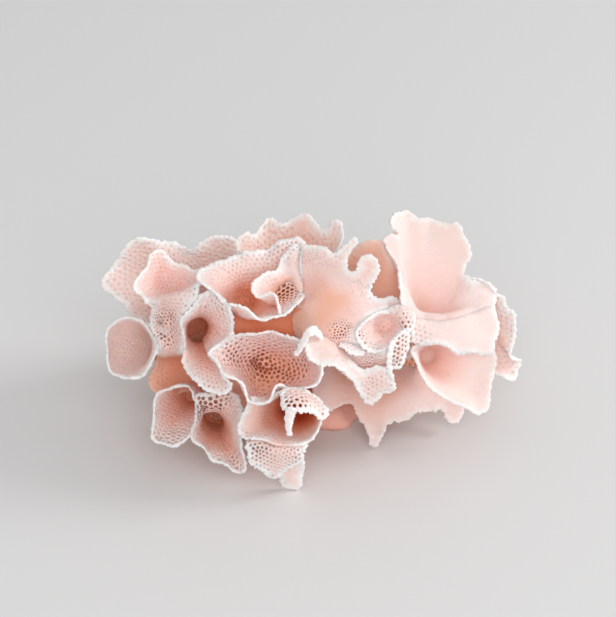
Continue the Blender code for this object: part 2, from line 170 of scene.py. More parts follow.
def cup(foot, foot_radius, neck, neck_radius, rim, waves=0, swing=0.0, **look):
    """A cup: a ring at its closed foot, one at its neck and its rim, which may ruffle in and out."""

    def rows(step):
        count = max(8, round(length(rim, True) / step))
        lip = divide(rim, count, True)
        low = inner_ring(np.array(foot, float), foot_radius, lip, np.array(foot, float))
        mid = inner_ring(np.array(neck, float), neck_radius, lip, np.array(foot, float))
        turn = np.arange(count) / count
        lip = lip + unit(lip - np.array(neck)) * (swing * np.sin(math.tau * waves * turn))[:, None]
        tall = np.linalg.norm(mid - low, axis=1).mean() + np.linalg.norm(lip - mid, axis=1).mean()
        t = np.linspace(0.0, 1.0, max(3, round(tall / step / ROW)) + 1)[:, None, None]
        return 2 * (t - 0.5) * (t - 1) * low + 4 * t * (1 - t) * mid + 2 * t * (t - 0.5) * lip

    return {"rows": rows, "ring": True, **look}


def sheet(*sections, **look):
    """An open sheet through its section curves, which its look may cut to an outline that lies on it."""

    def rows(step):
        count = max(3, round(max(length(s) for s in sections) / step) + 1)
        lines = [divide(s, count) for s in sections]
        down = sum(np.linalg.norm(b - a, axis=1).mean() for a, b in zip(lines, lines[1:]))
        tall = max(2, round(down / step / ROW)) + 1
        return np.stack([divide([line[i] for line in lines], tall) for i in range(count)], axis=1)

    return {"rows": rows, "ring": False, **look}


def away_from(points, line):
    """Distance of each point to the nearest point of a line."""
    flat = points.reshape(-1, 3)
    best = np.full(len(flat), 1e9)
    for start in range(0, len(flat), 4000):
        part = flat[start:start + 4000]
        gaps = ((part[:, None, :] - line[None, :, :]) ** 2).sum(axis=2)
        best[start:start + 4000] = np.sqrt(gaps.min(axis=1))
    return best.reshape(points.shape[:-1])


def tree_of(points):
    """Search tree for the nearest of the given points."""
    tree = KDTree(len(points))
    for i, p in enumerate(points):
        tree.insert(p, i)
    tree.balance()
    return tree


def wobble(points, wave, seed):
    """Smooth, even wandering of points in every direction, as growth gives, at about one wave length."""
    turn = np.random.default_rng(seed)
    total = np.zeros_like(points)
    for _ in range(WAVES_IN_WOBBLE):
        way = unit(turn.normal(size=(3, 3))) * (math.tau / wave * turn.uniform(0.7, 1.3, (3, 1)))
        total += np.sin(points @ way.T + turn.uniform(0, math.tau, 3))
    return total / WAVES_IN_WOBBLE


def edge_of(grid, ring):
    """Free edge of a grid of points: a cup's rim, or all round a sheet."""
    if ring:
        return grid[-1]
    return np.vstack([grid[0], grid[1:-1, -1], grid[-1][::-1], grid[1:-1, 0][::-1]])


def inside(points, line):
    """Which points lie inside a closed line, as seen from the front and above."""
    spots = points @ FACING.T
    start = line @ FACING.T
    end = np.roll(start, -1, axis=0)
    rise = np.where(np.abs(end - start)[:, 1] < 1e-9, 1e-9, (end - start)[:, 1])
    level = spots[:, None, 1]
    across = (start[:, 1] > level) != (end[:, 1] > level)
    reach = start[:, 0] + (level - start[:, 1]) / rise * (end - start)[:, 0]
    return (across & (spots[:, None, 0] < reach)).sum(axis=1) % 2 == 1


def grid_mesh(grid, ring):
    """Triangles between the rows of a grid, with a cup's foot closed."""
    work = bmesh.new()
    verts = [[work.verts.new(p) for p in row] for row in grid]
    wide = len(verts[0])
    for low, high in zip(verts, verts[1:]):
        for i in range(wide if ring else wide - 1):
            j = (i + 1) % wide
            work.faces.new((low[i], low[j], high[i]))
            work.faces.new((low[j], high[j], high[i]))
    if ring:
        pole = work.verts.new(grid[0].mean(axis=0))
        for i in range(wide):
            work.faces.new((verts[0][(i + 1) % wide], verts[0][i], pole))
    return work


def cut_to(work, line):
    """Take away the faces outside a line, and the few that would leave a corner where two edges meet."""
    middles = np.array([f.calc_center_median() for f in work.faces])
    gone = [f for f, stays in zip(work.faces, inside(middles, line)) if not stays]
    while gone:
        bmesh.ops.delete(work, geom=gone, context="FACES")
        gone = [f for f in work.faces if sum(e.is_boundary for e in f.edges) > 1]
        for vert in work.verts:
            if sum(e.is_boundary for e in vert.link_edges) > 2:
                gone.extend(vert.link_faces)
        gone = list(set(gone))


def blank(form, step):
    """A frond's plain surface in even steps, cut to its outline, and the line of its free edge."""
    grid = form["rows"](step)
    work = grid_mesh(grid, form["ring"])
    if "outline" not in form:
        return work, edge_of(grid, form["ring"])
    surface = BVHTree.FromBMesh(work)
    line = divide(form["outline"], round(length(form["outline"], True) / FINE), True)
    line = np.array([surface.find_nearest(Vector(p))[0] for p in line])
    cut_to(work, line)
    return work, line


def stirred(points, gap, stir):
    """Points moved as growth leaves them: most near the free edge, in short waves and in long ones."""
    for wave, seed, size, fade in GROWTH_WAVES:
        points = points + wobble(points, wave, seed) * (size * stir * np.exp(-gap / fade))[..., None]
    points[..., 2] = np.maximum(points[..., 2], LIFT)
    return points


def split_long(work, most):
    """Halve the edges that are too long."""
    edges = [e for e in work.edges if e.calc_length() > most]
    if edges:
        bmesh.ops.subdivide_edges(work, edges=edges, cuts=1)
        bmesh.ops.triangulate(work, faces=[f for f in work.faces if len(f.verts) > 3])


def join_short(work, least):
    """Join the ends of the edges that are too short, where that doesn't pinch the sheet."""
    edges = sorted((e for e in work.edges if e.calc_length() < least), key=lambda e: e.calc_length())
    taken = set()
    joins = {}
    for edge in edges:
        a, b = edge.verts
        if a in taken or b in taken or (a.is_boundary and b.is_boundary and not edge.is_boundary):
            continue
        of_a = {e.other_vert(a) for e in a.link_edges}
        of_b = {e.other_vert(b) for e in b.link_edges}
        if len(of_a & of_b) != len(edge.link_faces):
            continue
        if b.is_boundary and not a.is_boundary:
            a, b = b, a
        if a.is_boundary == b.is_boundary:
            a.co = (a.co + b.co) / 2
        joins[b] = a
        taken |= of_a | of_b
    if joins:
        bmesh.ops.weld_verts(work, targetmap=joins)


def turn_edges(work):
    """Turn the edges between two triangles where that evens out how many edges meet at each corner."""

    def off(vert, change):
        return abs(len(vert.link_edges) + change - (4 if vert.is_boundary else 6))

    for edge in list(work.edges):
        if not edge.is_valid or len(edge.link_faces) != 2:
            continue
        a, b = edge.verts
        c, d = (next(v for v in f.verts if v not in (a, b)) for f in edge.link_faces)
        if off(a, -1) + off(b, -1) + off(c, 1) + off(d, 1) >= off(a, 0) + off(b, 0) + off(c, 0) + off(d, 0):
            continue
        if len(a.link_edges) < 4 or len(b.link_edges) < 4 or work.edges.get((c, d)) is not None:
            continue
        up = (c.co - a.co).cross(b.co - a.co)
        if (d.co - c.co).cross(b.co - c.co).dot(up) * (d.co - c.co).cross(a.co - c.co).dot(up) >= 0:
            continue
        bmesh.utils.edge_rotate(edge, True)


def ease(work, surface, line):
    """Move each corner to the middle of its neighbours, kept on the surface or on its edge."""
    goals = []
    for vert in work.verts:
        if vert.is_boundary:
            near = [e.other_vert(vert).co for e in vert.link_edges if e.is_boundary]
            goal = line.find(vert.co * 0.5 + sum(near, Vector()) / len(near) * 0.5)[0]
        else:
            near = [e.other_vert(vert).co for e in vert.link_edges]
            goal = surface.find_nearest(vert.co.lerp(sum(near, Vector()) / len(near), 0.7))[0]
        goals.append(goal)
    for vert, goal in zip(work.verts, goals):
        vert.co = goal


def even_mesh(form, pitch):
    """Mesh of even triangles on a frond's surface, with a corner for each pore, and the line of its edge."""
    cut = "outline" in form
    work, edge = blank(form, pitch * CUT_STEP if cut else pitch)
    fine = form["rows"](FINE)
    if not cut:
        edge = edge_of(fine, form["ring"])
    stir = form.get("stir", 1.0)
    fine = stirred(fine, away_from(fine, edge), stir)
    edge = stirred(edge, np.zeros(len(edge)), stir)
    smooth = grid_mesh(fine, form["ring"])
    surface = BVHTree.FromBMesh(smooth)
    smooth.free()
    if cut:
        edge = np.array([surface.find_nearest(Vector(p))[0] for p in edge])
    dense = divide(edge, len(edge) * 3, True)
    line = tree_of(dense)
    for vert in work.verts:
        vert.co = line.find(vert.co)[0] if vert.is_boundary else surface.find_nearest(vert.co)[0]
    for _ in range(ROUNDS):
        split_long(work, pitch * LONG_EDGE)
        join_short(work, pitch * SHORT_EDGE)
        turn_edges(work)
        ease(work, surface, line)
    ease(work, surface, line)
    bmesh.ops.recalc_face_normals(work, faces=work.faces)
    return work, dense


def neighbours():
    """Search tree and edge of every frond's surface, to tell where one grows out of another."""
    if not FOUND:
        for look in COLONY.values():
            for form in look["forms"]:
                work, edge = blank(form, COARSE)
                FOUND.append((form, BVHTree.FromBMesh(work), divide(edge, len(edge) * 2, True)))
                work.free()
    return FOUND


def free_part(form, edge):
    """The part of a frond's edge that doesn't meet the inside of another frond."""
    free = np.ones(len(edge), bool)
    for other, tree, line in neighbours():
        if other is form:
            continue
        for i in np.flatnonzero(free & (away_from(edge, line) > APART)):
            if tree.find_nearest(Vector(edge[i]), JOINED)[0] is not None:
                free[i] = False
    return edge[free] if free.any() else edge[:1]


# From an even mesh to lace


def link(name, data):
    """New object in the scene."""
    item = bpy.data.objects.new(name, data)
    bpy.context.scene.collection.objects.link(item)
    return item


def object_of(name, work):
    """New object with the mesh that was worked on."""
    mesh = bpy.data.meshes.new(name)
    work.to_mesh(mesh)
    work.free()
    return link(name, mesh)


def select_only(item):
    """Make an object the only selected one, and the active one."""
    bpy.ops.object.select_all(action="DESELECT")
    item.select_set(True)
    bpy.context.view_layer.objects.active = item


def apply_modifier(item, modifier):
    """Apply a modifier as its menu does."""
    select_only(item)
    bpy.ops.object.modifier_apply(modifier=modifier.name)


def patch(points, middle, reach):
    """Share of a soft round patch at each point: 1 about its middle and 0 beyond its reach."""
    share = np.clip(PATCH_EDGE - PATCH_EDGE * np.linalg.norm(points - middle, axis=1) / reach, 0.0, 1.0)
    return share * share * (3 - 2 * share)


def pore_sizes(points, form, gap, dice):
    """Radius of the pore at each corner: a base size, larger in the form's open patches, none at a solid rim."""
    pores = form.get("pores", PORE)
    sizes = np.full(len(points), pores)
    for middle, reach, radius in form.get("open", ()):
        sizes = sizes + (radius - pores) * patch(points, middle, reach)
    solid = form.get("solid", SOLID_RIM)
    sizes = sizes * np.clip((gap - solid * 0.5) / (solid * 0.5 + 0.01), 0.0, 1.0) ** 0.5
    drift = 1.0 + DRIFT * wobble(points, DRIFT_WAVE, 11)[:, 0]
    return np.minimum(sizes * drift * dice.uniform(*PORE_LUCK, len(points)), WIDEST)


def pierce(item, sizes):
    """Cut a pore at each corner: every corner is bevelled by its own size and the small face there is taken out."""
    mesh = item.data
    widest = float(sizes.max())
    weights = mesh.attributes.new("bevel_weight_vert", "FLOAT", "POINT")
    weights.data.foreach_set("value", np.where(sizes > LEAST_PORE, sizes / widest, 0.0).astype(np.float32))
    for _ in ("surface", "pores"):
        mesh.materials.append(None)
    cut = item.modifiers.new("Pores", "BEVEL")
    cut.affect = "VERTICES"
    cut.limit_method = "WEIGHT"
    cut.offset_type = "OFFSET"
    cut.width = widest
    cut.segments = 1
    cut.use_clamp_overlap = False
    cut.material = 1  # the slot of the pores
    apply_modifier(item, cut)
    work = bmesh.new()
    work.from_mesh(item.data)
    bmesh.ops.delete(work, geom=[f for f in work.faces if f.material_index == 1], context="FACES_ONLY")
    bmesh.ops.delete(work, geom=[e for e in work.edges if not e.link_faces], context="EDGES")
    bmesh.ops.delete(work, geom=[v for v in work.verts if not v.link_faces], context="VERTS")
    return work


def boundary_near(work, line, reach):
    """Open edges that lie along a line."""
    found = []
    for edge in work.edges:
        if edge.is_boundary and all(line.find(v.co)[2] < reach for v in edge.verts):
            found.append(edge)
    return found


def add_teeth(work, line, tooth, dice):
    """Fine teeth along the free edge: two small points on each of its edges."""
    for edge in boundary_near(work, line, TOOTH_REACH):
        middle = edge.link_faces[0].calc_center_median()
        a, b = edge.verts
        along = (b.co - a.co).normalized()
        first, one = bmesh.utils.edge_split(edge, a, TOOTH_ENDS[0])
        rest = first if b in first.verts else edge
        _, two = bmesh.utils.edge_split(rest, one, TOOTH_ENDS[1])
        out = (a.co + b.co) / 2 - middle
        out = (out - along * out.dot(along)).normalized()
        for vert in (one, two):
            vert.co += out * tooth * float(dice.uniform(0.0, 1.0)) ** TOOTH_LUCK


def set_weights(item, name, values):
    """Vertex group of an object with a weight for each point."""
    group = item.vertex_groups.new(name=name)
    for i, value in enumerate(values):
        group.add([i], float(value), "REPLACE")


def points_of(mesh):
    """A mesh's points."""
    flat = np.empty(len(mesh.vertices) * 3)
    mesh.vertices.foreach_get("co", flat)
    return flat.reshape(-1, 3)


def normals_of(mesh):
    """The direction out of a mesh at each of its points."""
    flat = np.empty(len(mesh.vertices) * 3)
    mesh.vertex_normals.foreach_get("vector", flat)
    return flat.reshape(-1, 3)


def store(mesh, name, values):
    """Number on every point of a mesh, for its material."""
    layer = mesh.attributes.new(name, "FLOAT", "POINT")
    layer.data.foreach_set("value", np.asarray(values, np.float32))


def give_wall(item, gap, lace):
    """A frond's wall, thicker along its rim, with its edges rounded."""
    inner = lace.wall / lace.rim_wall
    set_weights(item, "rim", inner + (1 - inner) * np.clip(1.0 - gap / RIM_FADE, 0.0, 1.0))
    wall = item.modifiers.new("Wall", "SOLIDIFY")
    wall.thickness = lace.rim_wall / MM
    wall.offset = 0.0
    wall.use_quality_normals = True
    wall.vertex_group = "rim"
    wall.edge_crease_inner = SOFT_CREASE
    wall.edge_crease_outer = SOFT_CREASE
    apply_modifier(item, wall)
    soft = item.modifiers.new("Round", "SUBSURF")
    soft.levels = 1
    soft.render_levels = 1
    apply_modifier(item, soft)
    item.vertex_groups.clear()


def from_rim(gap, base, more, fade):
    """A size all over a frond and what is added to it at the rim, which fades away from there."""
    return base + more * np.exp(-gap / fade)


def crumbled(item, points, gap, dice):
    """A frond's points with crumbs all over and beads along the rim."""
    crumb = dice.normal(size=len(points)) * from_rim(gap, *CRUMBS)
    crumb = crumb + wobble(points, BEAD_WAVE, 9)[:, 0] * from_rim(gap, *BEADS)
    return points + normals_of(item.data) * np.clip(crumb, -CRUMB_MOST, CRUMB_MOST)[:, None]


def store_tints(item, form, points, gap):
    """Store how white each point is, as at a rim, with painted light that pales the lit fronds, and how much painted
    shade it takes, as deeper coral inside the colony and in shaded patches.
    """
    core = np.clip((1.0 - np.linalg.norm((points - CORE) / CORE_SIZE, axis=1)) / CORE_EDGE, 0.0, 1.0)
    inward = np.clip((gap - INWARD_FROM) / INWARD_OVER, 0.0, 1.0)
    dots = np.clip(2.2 * wobble(points, DOT_WAVE, 21)[:, 0] - 0.3, 0.0, 1.0) * np.exp(-gap / DOT_FADE)
    rim = RIM_WHITE * np.clip(1.0 - gap / WHITE_FADE, 0.0, 1.0) ** 1.3
    white = DOT_WHITE * dots + rim + PALE_WHITE * np.clip(1.0 - gap / PALE_FADE, 0.0, 1.0)
    # pale: a least whiteness all over, painted light that makes the lit fronds paler
    white = np.maximum(np.minimum(white, 1.0) * form.get("white", 1.0), form.get("pale", 0.0))
    # deep: painted shade, a deeper coral inside the colony and away from the rims, less where a frond is lit
    deep = core * (CORE_SHADE + CORE_INWARD * inward) + INWARD_SHADE * inward + form.get("deep", 0.0)
    # shade: patches of painted shade that deepen the coral and take away white
    for middle, reach, amount in form.get("shade", ()):
        share = patch(points, middle, reach)
        deep = np.maximum(deep, 0.0) + amount * share
        white = white * (1.0 - SHADE_WHITE * share)
    # the rims' white with the painted light and shade above, and the painted shade
    store(item.data, "rim", white)
    store(item.data, "deep", np.clip(deep, 0.0, 1.0))


def lace_form(name, form, pitch, seed, lace):
    """One frond's surface as real lace: pierced, toothed, given its wall, crumbled and tinted."""
    dice = np.random.default_rng(seed)
    work, edge = even_mesh(form, form.get("pitch", pitch))
    edge = free_part(form, edge)
    item = object_of(name, work)
    points = points_of(item.data)
    work = pierce(item, pore_sizes(points, form, away_from(points, edge), dice))
    add_teeth(work, tree_of(edge), form.get("tooth", lace.tooth / MM), dice)
    work.to_mesh(item.data)
    work.free()
    give_wall(item, away_from(points_of(item.data), edge), lace)
    points = points_of(item.data)
    gap = away_from(points, edge)
    points = crumbled(item, points, gap, dice)
    store_tints(item, form, points, gap)
    item.data.vertices.foreach_set("co", ((points - CENTRE) * MM).ravel())
    item.data.update()
    return item


def lace_piece(node):
    """The lace of one node: its surfaces as one piece that stands for the node's solid."""
    lace = bpy.context.scene.lace_sizes
    look = COLONY[node]
    seed = sum(ord(c) * (i + 1) for i, c in enumerate(node))
    parts = []
    for k, form in enumerate(look["forms"]):
        parts.append(lace_form(f"{node}_{k}", form, look.get("pitch", lace.pitch / MM), seed + k, lace))
    select_only(parts[0])
    for part in parts:
        part.select_set(True)
    if len(parts) > 1:
        bpy.ops.object.join()
    item = bpy.context.view_layer.objects.active
    item.name = node + "_lace"
    item.data.name = item.name
    bpy.ops.object.shade_smooth()
    item.data.materials.clear()
    item.data.materials.append(lace_material())
    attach(item, "root")
    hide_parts(node)


# Materials


def lime_grain():
    """Shader group: the fine beads and pits of a lime skeleton, as a height and as a soft change of tone."""
    name = "Lime grain"
    if name in bpy.data.node_groups:
        return bpy.data.node_groups[name]
    group = bpy.data.node_groups.new(name, "ShaderNodeTree")
    for label, way, kind in (("Vector", "INPUT", "Vector"), ("Beads", "INPUT", "Float"),
                             ("Patches", "INPUT", "Float"), ("Height", "OUTPUT", "Float"), ("Tone", "OUTPUT", "Float")):
        group.interface.new_socket(label, in_out=way, socket_type=f"NodeSocket{kind}")
    nodes = group.nodes
    enter = nodes.new("NodeGroupInput").outputs
    leave = nodes.new("NodeGroupOutput").inputs
    beads = nodes.new("ShaderNodeTexVoronoi")
    beads.feature = "SMOOTH_F1"
    fine = nodes.new("ShaderNodeTexNoise")
    fine.inputs["Detail"].default_value = 4.0
    patches = nodes.new("ShaderNodeTexNoise")
    patches.inputs["Detail"].default_value = 3.0
    finer = nodes.new("ShaderNodeMath")
    finer.operation = "MULTIPLY"
    finer.inputs[1].default_value = 2.3
    height = nodes.new("ShaderNodeMath")
    height.operation = "MULTIPLY_ADD"
    height.inputs[1].default_value = -1.2
    for start, end in (
            (enter["Vector"], beads.inputs["Vector"]), (enter["Vector"], fine.inputs["Vector"]),
            (enter["Vector"], patches.inputs["Vector"]), (enter["Beads"], beads.inputs["Scale"]),
            (enter["Beads"], finer.inputs[0]), (finer.outputs[0], fine.inputs["Scale"]),
            (enter["Patches"], patches.inputs["Scale"]), (beads.outputs["Distance"], height.inputs[0]),
            (fine.outputs["Fac"], height.inputs[2]), (height.outputs[0], leave["Height"]),
            (patches.outputs["Fac"], leave["Tone"])):
        group.links.new(start, end)
    return group


def mixed(nodes, links, share, first, second):
    """Mix node of two colours or colour outputs, by a number or an output."""
    mix = nodes.new("ShaderNodeMix")
    mix.data_type = "RGBA"
    for socket, value in ((mix.inputs["Factor"], share), (mix.inputs["A"], first), (mix.inputs["B"], second)):
        if isinstance(value, bpy.types.NodeSocket):
            links.new(value, socket)
        elif socket.type == "RGBA":
            socket.default_value = (*value, 1.0)
        else:
            socket.default_value = value
    return mix.outputs["Result"]


def ranged(nodes, links, value, low, high):
    """Map Range node from 0..1 to a range."""
    node = nodes.new("ShaderNodeMapRange")
    node.inputs["To Min"].default_value = low
    node.inputs["To Max"].default_value = high
    links.new(value, node.inputs["Value"])
    return node.outputs["Result"]


def stored(nodes, name):
    """Output of an Attribute node that reads a number stored on the mesh."""
    node = nodes.new("ShaderNodeAttribute")
    node.attribute_name = name
    return node.outputs["Fac"]


def lime_material(name, beads):
    """Material with the lime grain in place, with its nodes and links, its shader and its grain node."""
    made = bpy.data.materials.new(name)
    made.use_nodes = True
    nodes = made.node_tree.nodes
    links = made.node_tree.links
    shader = nodes["Principled BSDF"]
    where = nodes.new("ShaderNodeTexCoord")
    grain = nodes.new("ShaderNodeGroup")
    grain.node_tree = lime_grain()
    grain.inputs["Beads"].default_value = beads
    grain.inputs["Patches"].default_value = LIME_PATCHES
    links.new(where.outputs["Object"], grain.inputs["Vector"])
    relief = nodes.new("ShaderNodeBump")
    relief.inputs["Strength"].default_value = LIME_RELIEF
    relief.inputs["Distance"].default_value = 0.0001
    links.new(grain.outputs["Height"], relief.inputs["Height"])
    links.new(relief.outputs["Normal"], shader.inputs["Normal"])
    links.new(ranged(nodes, links, grain.outputs["Tone"], 0.5, 0.75), shader.inputs["Roughness"])
    return made, nodes, links, shader, grain


def lace_material():
    """Lace: near-white rims, pale pink fronds, and painted shade as a deeper, darker coral towards the colony's inside.
    """
    name = "lace_lime"
    if name in bpy.data.materials:
        return bpy.data.materials[name]
    tint = bpy.context.scene.lace_colours
    made, nodes, links, shader, grain = lime_material(name, LACE_BEADS)
    warm = mixed(nodes, links, ranged(nodes, links, grain.outputs["Tone"], 0.0, 0.5), tint.frond, tint.blush)
    # Ramp of painted shade: the blush, then the inside's coral, then a darker coral in the deepest places.
    ramp = nodes.new("ShaderNodeValToRGB")
    ramp.color_ramp.elements[0].color = (*tint.blush, 1.0)
    ramp.color_ramp.elements[1].color = (*[c * part for c, part in zip(tint.deep, DARKEST)], 1.0)
    ramp.color_ramp.elements.new(0.55).color = (*tint.deep, 1.0)
    links.new(stored(nodes, "deep"), ramp.inputs["Fac"])
    # How far the painted shade takes the place of the fronds' own warm colour.
    share = nodes.new("ShaderNodeMath")
    share.operation = "MULTIPLY"
    share.use_clamp = True
    share.inputs[1].default_value = 3.0
    links.new(stored(nodes, "deep"), share.inputs[0])
    inner = mixed(nodes, links, share.outputs[0], warm, ramp.outputs["Color"])
    links.new(mixed(nodes, links, stored(nodes, "rim"), inner, tint.rim), shader.inputs["Base Color"])
    shader.inputs["Subsurface Weight"].default_value = 0.6
    shader.inputs["Subsurface Radius"].default_value = (1.0, 0.74, 0.63)
    shader.inputs["Subsurface Scale"].default_value = 0.0014
    shader.inputs["Specular IOR Level"].default_value = 0.35
    return made


def crust_material():
    """Holdfast: the same lime, without the white of the rims."""
    tint = bpy.context.scene.lace_colours
    made, nodes, links, shader, grain = lime_material("crust_lime", CRUST_BEADS)
    links.new(mixed(nodes, links, grain.outputs["Tone"], tint.deep, tint.blush), shader.inputs["Base Color"])
    shader.inputs["Subsurface Weight"].default_value = 0.2
    shader.inputs["Subsurface Radius"].default_value = (1.0, 0.42, 0.3)
    shader.inputs["Subsurface Scale"].default_value = 0.0015
    return made


def floor_material():
    """Floor: plain, pale and a little polished."""
    made = bpy.data.materials.new("studio_floor")
    made.use_nodes = True
    nodes = made.node_tree.nodes
    links = made.node_tree.links
    shader = nodes["Principled BSDF"]
    where = nodes.new("ShaderNodeTexCoord")
    cloud = nodes.new("ShaderNodeTexNoise")
    cloud.inputs["Scale"].default_value = 6.0
    cloud.inputs["Detail"].default_value = 2.0
    links.new(where.outputs["Object"], cloud.inputs["Vector"])
    tone = bpy.context.scene.studio.floor_colour
    darker = [c * 0.97 for c in tone]
    links.new(mixed(nodes, links, cloud.outputs["Fac"], tone, darker), shader.inputs["Base Color"])
    links.new(ranged(nodes, links, cloud.outputs["Fac"], 0.36, 0.44), shader.inputs["Roughness"])
    return made
